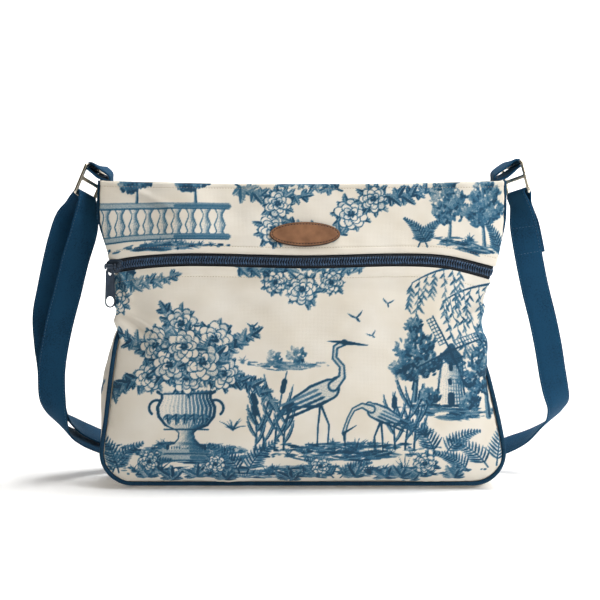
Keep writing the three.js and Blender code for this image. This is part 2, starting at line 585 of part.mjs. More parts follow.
// The leather patch lies on the upper front, turned to the slope of the cloth there.
function patchGeometry() {
  const at = (x, z) => frontPoint(acrossAt(x, z), z);
  const place = at(PATCH.x, PATCH.z);
  const right = at(PATCH.x + 5, PATCH.z).sub(at(PATCH.x - 5, PATCH.z)).normalize();
  const up = at(PATCH.x, PATCH.z + 8).sub(at(PATCH.x, PATCH.z - 8)).normalize();
  const normal = right.clone().cross(up).normalize();
  const oval = new THREE.Shape();
  oval.absellipse(0, 0, PATCH.width / 2, PATCH.height / 2, 0, 2 * Math.PI, false);
  const geometry = plate(oval, PATCH.thickness, 20);
  const clear = 2 * GAP;
  const placed = new THREE.Matrix4().makeBasis(right, normal.clone().cross(right), normal);
  return geometry.translate(0, 0, clear).applyMatrix4(placed.setPosition(place));
}
add("leather_patch", patchGeometry(), LEATHER);

// Joining and cutting of closed bodies.
function solid(geometry) {
  const bare = geometry.clone();
  bare.deleteAttribute("normal");
  bare.deleteAttribute("uv");
  const merged = mergeVertices(bare, 1e-4);
  const triVerts = Uint32Array.from(merged.index.array);
  const vertProperties = merged.attributes.position.array;
  return new wasm.Manifold(new wasm.Mesh({ numProp: 3, vertProperties, triVerts }));
}
function geometryOf(body) {
  const { vertProperties, triVerts } = body.getMesh();
  const geometry = new THREE.BufferGeometry();
  geometry.setAttribute("position", new THREE.BufferAttribute(Float32Array.from(vertProperties), 3));
  geometry.setIndex(new THREE.BufferAttribute(Uint32Array.from(triVerts), 1));
  return geometry;
}
const barAlongX = (radius, length, sides) => {
  const rod = new THREE.CylinderGeometry(radius, radius, length, sides);
  return rod.rotateZ(Math.PI / 2);
};

// The slider stands in front of the piping at the left end of the zipper.
const sliderBack = seamFront(SLIDER.z) - PIPING_RADIUS - 1.6;
const sliderFront = sliderBack - SLIDER.thickness;
const bridgeDepth = sliderFront - BRIDGE.reach;

function sliderGeometry() {
  const { length, height, thickness } = SLIDER;
  const body = new THREE.Shape();
  body.moveTo(-length / 2, -height * 0.3);
  body.lineTo(-length * 0.2, -height / 2);
  body.lineTo(length / 2, -height * 0.36);
  body.lineTo(length / 2, height * 0.36);
  body.lineTo(-length * 0.2, height / 2);
  body.lineTo(-length / 2, height * 0.3);
  body.closePath();
  const flat = plate(body, thickness).rotateX(Math.PI / 2).rotateY(-THREE.MathUtils.degToRad(SLIDER.tilt));
  let slider = solid(flat.translate(SLIDER.x, sliderBack, SLIDER.z));
  const { span, legWidth, legHeight, barRadius, reach } = BRIDGE;
  const legDepth = reach + barRadius + 0.3;
  for (const sign of [-1, 1]) {
    const leg = new THREE.BoxGeometry(legWidth, legDepth, legHeight);
    leg.translate(BRIDGE.x + (sign * (span - legWidth)) / 2, sliderFront + 0.3 - legDepth / 2, BRIDGE.z);
    slider = slider.add(solid(leg));
  }
  const rod = barAlongX(barRadius, span - legWidth, 8).translate(BRIDGE.x, bridgeDepth, BRIDGE.z);
  return geometryOf(slider.add(solid(rod)));
}
add("zipper_slider", sliderGeometry(), GUNMETAL);

function pullGeometry() {
  const { length, topWidth, bottomWidth, thickness } = PULL;
  const outline = new THREE.Shape();
  const low = KNUCKLE.radius - length;
  const round = bottomWidth / 2;
  outline.moveTo(-KNUCKLE.width / 2, 0);
  outline.lineTo(-topWidth / 2, -4);
  outline.lineTo(-round, low + round);
  outline.absarc(0, low + round, round, Math.PI, 2 * Math.PI, false);
  outline.lineTo(topWidth / 2, -4);
  outline.lineTo(KNUCKLE.width / 2, 0);
  outline.closePath();
  const eye = new THREE.Path();
  const eyeMiddle = low + PULL_EYE.rim + PULL_EYE.height / 2;
  eye.absellipse(0, eyeMiddle, PULL_EYE.width / 2, PULL_EYE.height / 2, 0, 2 * Math.PI, true);
  const slot = new THREE.Path();
  const slotMiddle = -PULL_SLOT.below - PULL_SLOT.height / 2;
  slot.absellipse(0, slotMiddle, PULL_SLOT.width / 2, PULL_SLOT.height / 2, 0, 2 * Math.PI, true);
  outline.holes.push(eye, slot);
  const flat = plate(outline, thickness).rotateX(Math.PI / 2).translate(0, thickness / 2, 0);
  const roll = solid(barAlongX(KNUCKLE.radius, KNUCKLE.width, 12));
  const bore = solid(barAlongX(KNUCKLE.bore, 2 * KNUCKLE.width, 12));
  return geometryOf(solid(flat).add(roll).subtract(bore)).translate(BRIDGE.x, bridgeDepth, BRIDGE.z);
}
add("zipper_pull", pullGeometry(), GUNMETAL);

export default bag;
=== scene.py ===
import math

import bmesh
import bpy
import numpy as np
from mathutils import Matrix, Vector


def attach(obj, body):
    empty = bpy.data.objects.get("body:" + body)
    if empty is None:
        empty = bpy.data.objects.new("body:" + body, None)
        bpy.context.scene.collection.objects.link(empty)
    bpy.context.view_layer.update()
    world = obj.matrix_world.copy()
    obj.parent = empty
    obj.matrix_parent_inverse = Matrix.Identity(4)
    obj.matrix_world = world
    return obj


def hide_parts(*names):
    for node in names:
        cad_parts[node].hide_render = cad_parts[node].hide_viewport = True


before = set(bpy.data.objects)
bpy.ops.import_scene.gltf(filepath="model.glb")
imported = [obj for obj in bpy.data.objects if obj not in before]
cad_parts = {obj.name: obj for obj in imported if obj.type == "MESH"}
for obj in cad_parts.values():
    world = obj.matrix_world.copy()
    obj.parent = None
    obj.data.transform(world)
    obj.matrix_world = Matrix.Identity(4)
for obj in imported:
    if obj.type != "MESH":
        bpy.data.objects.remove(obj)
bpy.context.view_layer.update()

# The studio: a pale floor swept up into a white backdrop, a soft key light from the right, a top light and a
# light on the backdrop. A black card beside the camera, seen only in reflections, gives the metal dark bands.
MM = 0.001
LOOK_AT = Vector((-2.7, -35.0, 171.2)) * MM
CAMERA_RISE, CAMERA_AWAY = math.radians(4), 1.6
LENS, SENSOR = 106.67, 36
LIGHTS = (  # name, place, size, power, aim, spread in degrees
    ("key", (1.0, -0.75, 0.95), 0.9, 15.5, LOOK_AT, 180),
    ("top", (0.5, 0.25, 2.0), 1.4, 46, LOOK_AT, 180),
    ("backdrop", (0.0, 0.9, 2.4), 1.2, 40, Vector((0, 2.4, 0.6)), 110))
scene = bpy.context.scene
scene.view_settings.view_transform = "Standard"
camera_data = bpy.data.cameras.new("camera")
camera_data.lens = LENS
camera_data.sensor_width = SENSOR
camera = bpy.data.objects.new("camera", camera_data)
camera.location = LOOK_AT + CAMERA_AWAY * Vector((0, -math.cos(CAMERA_RISE), math.sin(CAMERA_RISE)))
camera.rotation_euler = (math.pi / 2 - CAMERA_RISE, 0, 0)
scene.collection.objects.link(camera)
scene.camera = camera
for name, place, size, power, aim, cone in LIGHTS:
    data = bpy.data.lights.new(name, "AREA")
    data.size = size
    data.energy = power
    data.spread = math.radians(cone)
    lamp = bpy.data.objects.new(name, data)
    lamp.location = place
    lamp.rotation_euler = (aim - Vector(place)).to_track_quat("-Z", "Y").to_euler()
    scene.collection.objects.link(lamp)


def linear(hex_colour):
    """The linear colour of an sRGB hex value."""
    channels = [int(hex_colour[i:i + 2], 16) / 255 for i in (1, 3, 5)]
    return [c / 12.92 if c <= 0.04045 else ((c + 0.055) / 1.055) ** 2.4 for c in channels] + [1.0]


def node(tree, kind, inputs, stops=None, out=0, **settings):
    """Adds a shader node and gives one of its outputs. An input is a value, a hex colour or a socket."""
    made = tree.nodes.new("ShaderNode" + kind)
    for name, value in settings.items():
        setattr(made, name, value)
    for name, value in inputs.items():
        if isinstance(value, bpy.types.NodeSocket):
            tree.links.new(value, made.inputs[name])
        else:
            made.inputs[name].default_value = linear(value) if isinstance(value, str) else value
    if stops:
        elements = made.color_ramp.elements
        elements.remove(elements[1])
        (place, colour), *others = stops.items()
        elements[0].position = place
        elements[0].color = linear(colour)
        for place, colour in others:
            elements.new(place).color = linear(colour)
    return made.outputs[out] if made.outputs else None


def finish(name):
    """A new material with an empty node tree."""
    material = bpy.data.materials.new(name)
    material.use_nodes = True
    material.node_tree.nodes.clear()
    return material, material.node_tree


def add_piece(name, shape, material):
    """Makes an object of a bmesh or a mesh, in metres and at the origin."""
    mesh = shape
    if isinstance(shape, bmesh.types.BMesh):
        mesh = bpy.data.meshes.new(name)
        shape.to_mesh(mesh)
        shape.free()
    mesh.materials.append(material)
    mesh.polygons.foreach_set("use_smooth", [True] * len(mesh.polygons))
    piece = bpy.data.objects.new(name, mesh)
    scene.collection.objects.link(piece)
    return piece


world = bpy.data.worlds.new("studio")
world.use_nodes = True
world.node_tree.nodes["Background"].inputs["Color"].default_value = linear("#f3e6d0")
world.node_tree.nodes["Background"].inputs["Strength"].default_value = 0.14
scene.world = world

FLOOR_REACH, FLOOR_DROP = 4.0, 0.2 * MM
SWEEP_START, SWEEP_RADIUS, SWEEP_TOP, SWEEP_STEPS = 1.6, 1.0, 3.0, 12
white_paper, tree = finish("white_paper")
paper_grain = node(tree, "TexNoise", {"Scale": 40.0, "Detail": 2.0})
relief = node(tree, "Bump", {"Height": paper_grain, "Strength": 0.02})
paper = node(tree, "BsdfPrincipled", {
    "Base Color": "#fbfbfb", "Roughness": 0.9, "Normal": relief,
    "Emission Color": "#ffffff", "Emission Strength": 0.12})
node(tree, "OutputMaterial", {"Surface": paper})
bm = bmesh.new()
profile = [(-FLOOR_REACH, 0.0), (SWEEP_START, 0.0)]
for k in range(1, SWEEP_STEPS + 1):
    angle = math.pi / 2 * k / SWEEP_STEPS
    profile.append((SWEEP_START + SWEEP_RADIUS * math.sin(angle), SWEEP_RADIUS * (1 - math.cos(angle))))
profile.append((SWEEP_START + SWEEP_RADIUS, SWEEP_TOP))
line = [bm.verts.new((-FLOOR_REACH, y, z - FLOOR_DROP)) for y, z in profile]
edges = [bm.edges.new(pair) for pair in zip(line[:-1], line[1:])]
wide = bmesh.ops.extrude_edge_only(bm, edges=edges)["geom"]
far_side = [vert for vert in wide if isinstance(vert, bmesh.types.BMVert)]
bmesh.ops.translate(bm, verts=far_side, vec=(2 * FLOOR_REACH, 0, 0))
bmesh.ops.recalc_face_normals(bm, faces=bm.faces)
add_piece("floor", bm, white_paper)

CARD_PLACE, CARD_SIZE = (-0.2, -2.3, 0.75), (1.7, 1.3)
black_card, tree = finish("black_card")
felt = node(tree, "BsdfPrincipled", {"Base Color": "#0a0a0b", "Roughness": 1.0})
node(tree, "OutputMaterial", {"Surface": felt})
bm = bmesh.new()
bmesh.ops.create_grid(bm, x_segments=1, y_segments=1, size=0.5)
card_turn = Matrix.Translation(CARD_PLACE) @ Matrix.Rotation(math.pi / 2, 4, "X")
bmesh.ops.transform(bm, matrix=card_turn @ Matrix.Diagonal((*CARD_SIZE, 1, 1)), verts=bm.verts)
card = add_piece("card", bm, black_card)
card.visible_camera = card.visible_diffuse = card.visible_shadow = False

# The print: a blue country design on unbleached cotton, with an urn of peonies, wading birds, a mill and
# leafy sprays. It is drawn line by line into one repeat and read at each point of the cloth. Places are in
# millimetres across from the middle of the bag and up.
PRINT_WIDTH, PRINT_HEIGHT, CELL = 480, 420, 0.5
HALF = PRINT_WIDTH / 2
BLADE = np.array([0.3, 0.8, 1.0, 0.95, 0.72, 0.4, 0.05])  # widths along a leaf or a feather
PETAL = np.array([0.35, 0.6, 0.85, 1.0, 1.0, 0.85, 0.5])
ink = np.zeros((int(PRINT_HEIGHT / CELL), int(PRINT_WIDTH / CELL)))
draws = np.random.default_rng(11)


def stroke(points, widths, tone):
    """Prints one brush line of changing width, with a tone from bare cloth, 0, to full ink, 1."""
    points = np.asarray(points, float) + (HALF, 0)
    widths = np.broadcast_to(np.asarray(widths, float), len(points))
    reach = widths.max() / 2 + 2 * CELL
    low = np.floor((points.min(0) - reach) / CELL).astype(int)
    high = np.ceil((points.max(0) + reach) / CELL).astype(int)
    columns, rows = np.arange(low[0], high[0] + 1), np.arange(low[1], high[1] + 1)
    x, y = np.meshgrid(columns * CELL, rows * CELL)
    cover = np.zeros(x.shape)
    for a, b, start, end in zip(points[:-1], points[1:], widths[:-1], widths[1:]):
        way = b - a
        share = np.clip(((x - a[0]) * way[0] + (y - a[1]) * way[1]) / max(way @ way, 1e-9), 0, 1)
        gap = np.hypot(x - a[0] - share * way[0], y - a[1] - share * way[1])
        cover = np.maximum(cover, np.clip(0.5 + ((start + (end - start) * share) / 2 - gap) / CELL, 0, 1))
    place = np.ix_(rows % ink.shape[0], columns % ink.shape[1])
    ink[place] += (tone - ink[place]) * cover


def heading(angle):
    return np.array([math.cos(math.radians(angle)), math.sin(math.radians(angle))])


def bent(start, angle, length, bend=0.0, count=7):
    """Points along a stem that sets out at an angle and bends evenly."""
    turns = math.radians(angle) + math.radians(bend) * np.linspace(0, 1, count)[:-1]
    steps = np.stack([np.cos(turns), np.sin(turns)], 1) * length / (count - 1)
    return np.asarray(start, float) + np.vstack([[0, 0], np.cumsum(steps, 0)])


def leaf(start, angle, length, width, bend=15, tone=0.8):
    """One leaf: a pale blade with a dark half, a hatched half and a bare vein."""
    middle = bent(start, angle, length, bend)
    stroke(middle, width * BLADE, 0.55 * tone)
    away = heading(angle + bend / 2 - 90)
    stroke(middle + 0.24 * width * away, 0.5 * width * BLADE, tone)
    if width > 2.6:
        for k in (2, 3, 4):
            vein = [middle[k], middle[k] - 0.42 * width * away + 0.3 * (middle[k + 1] - middle[k - 1])]
            stroke(vein, 0.6, 0.9 * tone)
        stroke(middle[1:6], 0.5, 0.12)


def rose_leaf(start, angle, length, tone=0.8):
    """A leaf of three toothed leaflets, as on a rose."""
    for aside, share in ((52, 0.72), (-52, 0.72), (0, 1.0)):
        bend = draws.uniform(-20, 20)
        leaf(start, angle + aside, share * length, 0.42 * length, bend, tone * draws.uniform(0.7, 1.1))


def spray(start, angle, length, bend, leaf_length, pairs, tone=0.8):
    """A bending branch with leaves on both sides and one at its tip."""
    stem = bent(start, angle, length, bend, 2 * pairs + 1)
    stroke(stem, np.linspace(1.7, 0.7, len(stem)), tone)
    for k in range(1, 2 * pairs):
        way = math.degrees(math.atan2(*(stem[k + 1] - stem[k])[::-1]))
        size = leaf_length * (1 - 0.4 * k / (2 * pairs)) * draws.uniform(0.8, 1.2)
        shade = min(tone * draws.uniform(0.6, 1.25), 1)
        rose_leaf(stem[k], way + (-1) ** k * draws.uniform(35, 70), size, shade)
    rose_leaf(stem[-1], angle + bend, 0.8 * leaf_length, tone)


def posy(centre, radius, turn):
    """An open peony in a ruff of dark leaves: rings of bare petals, inked and hatched, round a dark heart."""
    centre = np.asarray(centre)
    for k in range(9):
        angle = turn + 40 * k + draws.uniform(-12, 12)
        size = radius * draws.uniform(0.75, 1.15)
        rose_leaf(centre + 0.6 * radius * heading(angle), angle, size, draws.uniform(0.6, 1.0))
    stroke([centre, centre], 1.7 * radius, 0.7)
    for count, reach, wide in ((8, 1.0, 0.78), (6, 0.74, 0.66), (4, 0.46, 0.5)):
        for k in range(count):
            angle = turn + 360 * (k + 0.5 * (count % 4 == 2)) / count + draws.uniform(-9, 9)
            petal = bent(centre, angle, reach * radius * draws.uniform(0.9, 1.08), draws.uniform(-20, 20))
            stroke(petal, wide * radius * PETAL, 0.8)
            stroke(petal[:-1], (wide * radius - 1.2) * PETAL[:-1], draws.uniform(0.0, 0.16))
            for slant in (-18, -9, 0, 9, 18):
                hatch = bent(centre, angle + slant, reach * radius * draws.uniform(0.5, 0.82))
                stroke(hatch, np.linspace(1.2, 0.35, 7), draws.uniform(0.45, 0.75))
    for k in range(7):
        dot = centre + 0.16 * radius * np.array([math.cos(k), math.sin(2 * k)])
        stroke([dot, dot], 0.12 * radius + 0.5, 0.9)


def tuft(start, height, blades, tone):
    """A tuft of grass."""
    for k in range(blades):
        lean = 90 + 55 * (2 * k / (blades - 1) - 1) + draws.uniform(-9, 9)
        blade = bent(start, lean, height * draws.uniform(0.6, 1.1), 0.6 * (lean - 90))
        stroke(blade, np.linspace(1.3, 0.3, 7), tone * draws.uniform(0.6, 1.1))


def fern(start, angle, length, bend, tone=0.9):
    """A frond with leaflets along both sides."""
    stem = bent(start, angle, length, bend, 15)
    stroke(stem, np.linspace(1.2, 0.4, 15), tone)
    for k in range(2, 15):
        way = math.degrees(math.atan2(*(stem[k] - stem[k - 1])[::-1]))
        for side in (-1, 1):
            reach = 0.36 * length * (1 - k / 16)
            leaf(stem[k], way + 58 * side, reach, 1.9, -12 * side, tone * draws.uniform(0.7, 1.15))


def ground(middle, reach, depth, lines, tone=0.75):
    """Flat strokes that draw the ground, thicker towards the middle, with blades of grass along the top."""
    for k in range(lines):
        away = draws.normal(0, 0.42)
        x = middle[0] + reach * away
        y = middle[1] + depth * draws.uniform(-1, 0.35) * (1 - min(abs(away), 1)) ** 0.5
        length = draws.uniform(5, 20) * (1.15 - min(abs(away), 1))
        line = bent((x - length / 2, y), draws.uniform(-9, 9), length, draws.uniform(-12, 12))
        widths = draws.uniform(0.7, 2.2) * np.array([0.3, 0.7, 1, 1, 1, 0.7, 0.3])
        stroke(line, widths, tone * draws.uniform(0.35, 1.3))
        if k % 6 == 0:
            tuft((x, y), draws.uniform(4, 8), 5, tone)


def foliage(centre, radius, dabs, tone=0.85):
    """A head of small leaves, darker on its right and underside."""
    for _ in range(dabs):
        angle = draws.uniform(0, 360)
        away = radius * math.sqrt(draws.uniform(0, 1))
        at = np.asarray(centre) + away * (heading(angle) * (1, 0.85))
        shade = 0.35 + 0.75 * (0.5 + 0.5 * math.cos(math.radians(angle + 40)) * away / radius)
        line = bent(at, draws.uniform(20, 160), draws.uniform(2.5, 5), draws.uniform(-40, 40), 4)
        stroke(line, np.array([0.7, 2.2, 1.8, 0.3]), min(tone * shade * draws.uniform(0.6, 1.35), 1))


def small_tree(base, height, lean, crown, tone=0.85):
    """A small tree: a bending trunk, a few boughs and heads of leaves."""
    trunk = bent(base, 90 - lean, 0.75 * height, 2 * lean, 9)
    stroke(trunk, np.linspace(0.075 * height, 0.02 * height, 9), 0.45 * tone)
    stroke(trunk + [0.015 * height, 0], np.linspace(0.03 * height, 0.01 * height, 9), tone)
    for k, angle in ((3, 145), (4, 40), (5, 125), (6, 55), (8, 90)):
        bough = bent(trunk[k], angle, 0.3 * height, draws.uniform(-30, 30))
        stroke(bough, np.linspace(0.03 * height, 0.6, 7), tone)
        for share in (3, 6):
            foliage(bough[share], crown * draws.uniform(0.75, 1.15), int(7 * crown), tone)


def willow(start, angle, length, strands, tone=0.8):
    """A bough with long strands of narrow leaves that hang from it."""
    bough = bent(start, angle, length, 25, strands + 1)
    stroke(bough, np.linspace(2.4, 0.8, strands + 1), tone)
    for spot in bough[1:]:
        lean = -90 + draws.uniform(-14, 14)
        strand = bent(spot, lean, draws.uniform(0.35, 0.75) * length, draws.uniform(-16, 16), 11)
        stroke(strand, 0.6, tone)
        for k in range(1, 11):
            lean = -90 + (-1) ** k * draws.uniform(22, 40)
            size = draws.uniform(5, 8)
            leaf(strand[k], lean, size, 2.1, 12 * (-1) ** k, min(tone * draws.uniform(0.55, 1.2), 1))


def turned(centre, profile, tone, flutes=15):
    """A turned stone shape seen from the side: flutes that darken to the right between inked outlines."""
    profile = np.asarray(profile, float)
    for place in np.linspace(-1, 1, flutes):
        line = np.stack([centre[0] + place * profile[:, 1], centre[1] + profile[:, 0]], 1)
        shade = 0.9 if abs(place) > 0.99 else 0.08 + 0.75 * (0.5 + 0.5 * place) ** 1.7
        stroke(line, np.maximum(1.5 * profile[:, 1] / flutes, 0.9), tone * shade)


def moulding(left, right, y, height, tone=0.8):
    """A straight stone moulding."""
    stroke([(left, y), (right, y)], height, 0.3 * tone)
    stroke([(left, y - height / 2), (right, y - height / 2)], 0.9, tone)
    stroke([(left, y + height / 2), (right, y + height / 2)], 0.7, 0.8 * tone)
    stroke([(left + 0.6 * (right - left), y), (right, y)], 0.6 * height, 0.65 * tone)


def heron(foot, height, facing, neck, bill, crest):
    """A wading bird: long legs, a plumed body, a bent neck, a dagger bill and a crest."""

    def at(x, y):
        return np.asarray(foot, float) + height * np.array([facing * x, y])

    for step, lift in ((-0.03, 0.0), (0.07, 0.02)):
        stroke([at(step, lift), at(step + 0.01, 0.2), at(0.0, 0.4)], [1.1, 1.3, 2.0], 0.85)
        stroke([at(step - 0.05, lift), at(step + 0.07, lift - 0.01)], 0.9, 0.8)
    body = np.array([at(-0.34, 0.36), at(-0.2, 0.42), at(-0.05, 0.47), at(0.08, 0.53), at(0.15, 0.6)])
    stroke(body, height * np.array([0.03, 0.13, 0.22, 0.2, 0.1]), 0.75)
    stroke(body[1:], height * np.array([0.09, 0.17, 0.16, 0.07]), 0.14)
    neck = np.array([at(*spot) for spot in neck])
    stroke(neck, height * np.array([0.11, 0.07, 0.055, 0.05, 0.05, 0.06]), 0.7)
    stroke(neck, height * np.array([0.07, 0.035, 0.025, 0.02, 0.02, 0.03]), 0.12)
    stroke([neck[-1], neck[-1] + height * np.array(bill)], [0.04 * height, 0.4], 0.9)
    stroke([neck[-1], neck[-1]], 0.022 * height, 0.95)
    stroke([neck[-1], neck[-1] - height * np.array(crest)], [0.03 * height, 0.4], 0.9)
    for row in range(4):
        for k in range(7):
            start = at(-0.02 - 0.05 * k + 0.03 * row, 0.53 - 0.022 * k - 0.035 * row)
            plume = bent(start, 200 if facing > 0 else -20, 0.1 * height, 12 * facing)
            stroke(plume, 0.026 * height * BLADE, 0.45 + 0.13 * row)
    for k in range(6):
        angle = 205 + 7 * k if facing > 0 else -25 - 7 * k
        plume = bent(at(-0.24 - 0.02 * k, 0.4 - 0.01 * k), angle, 0.17 * height, 10 * facing)
        stroke(plume, 0.03 * height * BLADE, 0.85 - 0.05 * k)


def windmill(base, height):
    """A tower mill with four lattice sails."""
    x, y = base
    tower = [(0, 0.2 * height), (0.3 * height, 0.165 * height), (0.62 * height, 0.13 * height)]
    turned(base, tower, 0.85, 11)
    for k in range(12):
        course = y + 0.05 * height * (k + 0.5)
        half = (0.2 - 0.115 * (k + 0.5) / 12.4) * height
        stroke([(x - 0.2 * half, course), (x + 0.9 * half, course)], 0.5, 0.6)
    stroke([(x - 0.15 * height, y + 0.62 * height), (x + 0.15 * height, y + 0.62 * height)], 1.6, 0.9)
    stroke([(x, y + 0.63 * height), (x, y + 0.72 * height)], [0.27 * height, 0.1 * height], 0.7)
    stroke([(x, y), (x, y + 0.1 * height)], 0.09 * height, 0.95)
    for window in (0.27, 0.45):
        stroke([(x - 1, y + window * height), (x - 1, y + (window + 0.05) * height)], 0.05 * height, 0.95)
    hub = np.array([x - 0.02 * height, y + 0.67 * height])
    for angle in (28, 118, 208, 298):
        way = heading(angle)
        side = np.array([-way[1], way[0]])
        stroke([hub, hub + 0.5 * height * way], [1.5, 0.9], 0.95)
        for k in range(9):
            rung = hub + (0.12 + 0.045 * k) * height * way
            stroke([rung, rung + 0.1 * height * side], 0.7, 0.75)
        for away in (0.05, 0.1):
            rail = hub + away * height * side
            stroke([rail + 0.12 * height * way, rail + 0.49 * height * way], 0.6, 0.75)


def swallow(at, size, tilt):
    """A small bird on the wing."""
    for angle, bend in ((tilt + 25, 35), (tilt + 155, -35)):
        stroke(bent(at, angle, size, bend), size * 0.16 * BLADE, 0.8)
    stroke(bent(at, tilt - 60, 0.6 * size), size * 0.2 * BLADE, 0.85)


# Main scene
ground((-104, 40), 100, 15, 190)
ground((40, 42), 105, 13, 190)
ground((136, 78), 58, 10, 120, 0.7)
ground((-20, 20), 190, 10, 230, 0.8)
ground((-14, 118), 42, 6, 60, 0.5)
for x, height in ((100, 60), (92, 74), (83, 52), (-34, 58), (-25, 72), (-17, 48), (-42, 44)):
    reed = bent((x, 40), 90 + draws.uniform(-6, 6), height, draws.uniform(-22, 22), 9)
    stroke(reed, np.linspace(1.7, 0.8, 9), 0.85)
    stroke(reed[6:8], 4.4, 0.95)
    for k in (1, 2, 3, 4):
        leaf(reed[k], 90 + 35 * (-1) ** k, 0.5 * height, 3.2, -30 * (-1) ** k, 0.85)
foliage((-6, 124), 9, 60, 0.6)
foliage((-26, 122), 7, 40, 0.5)
RAISED_NECK = [(0.12, 0.56), (0.2, 0.64), (0.2, 0.74), (0.13, 0.82), (0.14, 0.92), (0.22, 0.96)]
BOWED_NECK = [(0.12, 0.55), (0.24, 0.6), (0.35, 0.55), (0.41, 0.44), (0.45, 0.33), (0.47, 0.25)]
heron((16, 44), 96, 1, RAISED_NECK, (0.22, -0.03), (0.16, -0.02))
heron((70, 38), 70, -1, BOWED_NECK, (0.02, -0.2), (-0.16, -0.1))

URN_X, URN_Z = -104, 40
URN = [  # height and half-width
    (0, 17), (3, 17), (4, 12), (9, 7.5), (15, 6.5), (18, 10), (22, 19), (30, 25), (38, 26), (46, 22),
    (50, 22), (52, 26)]
for x, angle, length, bend in (
        (-20, 165, 62, 70), (18, 15, 64, -70), (0, 95, 64, 25), (-12, 128, 66, 24), (14, 52, 62, -20)):
    spray((URN_X + x, URN_Z + 62), angle, length, bend, 15, 6, 0.9)
moulding(URN_X - 20, URN_X + 20, URN_Z - 2, 5)
moulding(URN_X - 24, URN_X + 24, URN_Z - 8, 6)
turned((URN_X, URN_Z), URN, 1.0)
for z in (18, 50):
    stroke([(URN_X - 20, URN_Z + z), (URN_X + 20, URN_Z + z)], 1.2, 0.8)
for side in (-1, 1):
    stroke(bent((URN_X + side * 24, URN_Z + 44), 90 - 75 * side, 20, -165 * side, 11), 2.0, 0.9)
for k in range(5):
    rose_leaf((URN_X - 16 + 8 * k, URN_Z + 31), -90, 9, 0.9)
for x, z, radius in (
        (-34, 66, 12), (34, 68, 12), (-4, 112, 12), (-28, 94, 13), (26, 98, 14), (0, 64, 12), (-15, 76, 13),
        (15, 78, 15), (-2, 92, 13)):
    posy((URN_X + x, URN_Z + z), radius, 40 * x)

small_tree((100, 84), 62, 8, 9.5)
small_tree((170, 72), 76, -6, 11)
windmill((134, 84), 68)
foliage((114, 88), 8, 80)
foliage((152, 86), 9, 90)
willow((192, 206), 195, 74, 9)
willow((150, 208), 190, 56, 7, 0.7)
for x, z, angle, length, bend in (
        (-60, 204, -12, 66, 34), (62, 206, 192, 64, -34), (-176, 196, -20, 60, 40),
        (-150, 200, 200, 40, -30)):
    spray((x, z), angle, length, bend, 13, 6, 0.85)
for x, z, radius in ((0, 184, 12), (-24, 190, 9), (26, 190, 9), (-168, 176, 10)):
    posy((x, z), radius, 3 * x)
for x, z, angle, length, bend in (
        (-172, 16, 70, 42, -50), (-166, 16, 100, 46, 40), (-150, 14, 50, 36, -50), (-56, 16, 110, 40, 50),
        (-50, 16, 70, 44, -45), (128, 34, 62, 42, -55), (120, 34, 108, 44, 45), (168, 22, 120, 46, 50),
        (176, 24, 85, 48, -20), (150, 18, 125, 38, 55), (34, 10, 60, 34, -60), (28, 10, 115, 34, 55)):
    fern((x, z), angle, length, bend)
for x, z in ((-128, 18), (-84, 14), (-30, 14), (2, 12), (60, 14), (92, 16), (110, 52), (-62, 58), (48, 40)):
    tuft((x, z), draws.uniform(10, 17), 9, 0.9)
for x, z in ((-140, 12), (-118, 10), (-96, 12), (-70, 10), (-12, 10), (12, 14), (46, 12), (74, 10), (88, 12),
             (106, 14), (136, 12)):
    for lean in (-42, 0, 42):
        rose_leaf((x, z), 90 + lean + draws.uniform(-15, 15), 15, draws.uniform(0.7, 1.0))
for x, z, radius in ((-78, 26, 8), (110, 26, 9), (16, 24, 8), (-138, 28, 8)):
    posy((x, z), radius, 7 * x)
for x, z, size, tilt in ((48, 158, 9, 10), (76, 170, 7, -12), (62, 142, 6, 20), (-44, 150, 7, 5)):
    swallow((x, z), size, tilt)

# Upper band
BALUSTER = [(0, 4.4), (3, 2.7), (9, 4.8), (16, 2.3), (20, 2.3), (24, 4.4)]
for k in range(9):
    turned((-178 + 13 * k, 326), BALUSTER, 0.7, 7)
for z in (324, 353):
    moulding(-186, -66, z, 5)
ground((-126, 316), 62, 5, 80)
small_tree((-150, 356), 36, 5, 7)
small_tree((-96, 356), 40, -5, 7.5)
spray((-60, 374), -28, 62, 40, 14, 5, 0.85)
for x, z, radius in ((-26, 332, 12), (-22, 356, 11), (44, 346, 13), (64, 360, 11)):
    posy((x, z), radius, 5 * x)
spray((40, 326), 175, 50, -20, 12, 4)
spray((36, 368), 160, 50, 30, 12, 4)
spray((74, 362), 0, 60, 24, 13, 5, 0.85)
ground((150, 322), 48, 8, 70, 0.7)
small_tree((132, 324), 46, 6, 7, 0.7)
small_tree((164, 322), 54, -5, 7, 0.7)
for x, angle, bend in ((104, 70, -40), (112, 108, 40), (180, 100, 40), (186, 75, -40)):
    fern((x, 314), angle, 34, bend)

# Between the scenes
for k in range(9):
    odd = k % 2
    x = -220 + 54 * k
    spray((x, 228 + 22 * odd), 20 + 140 * odd, 62, 50 - 100 * odd, 14, 5, 0.85)
    posy((x + 30, 262 - 26 * odd), 11, 30 * k)
    spray((x + 16, 396), -30 + 60 * odd, 46, 30, 13, 4, 0.85)
ground((HALF, 44), 62, 11, 130)
small_tree((HALF - 6, 44), 128, 5, 15)
small_tree((HALF + 30, 48), 74, -8, 9, 0.7)
for x, angle, bend in ((-40, 100, 45), (-32, 70, -45), (18, 110, 45), (26, 75, -45)):
    fern((HALF + x, 26), angle, 40, bend)
for x, z, size, tilt in ((-20, 172, 8, 8), (26, 160, 7, -10)):
    swallow((HALF + x, z), size, tilt)


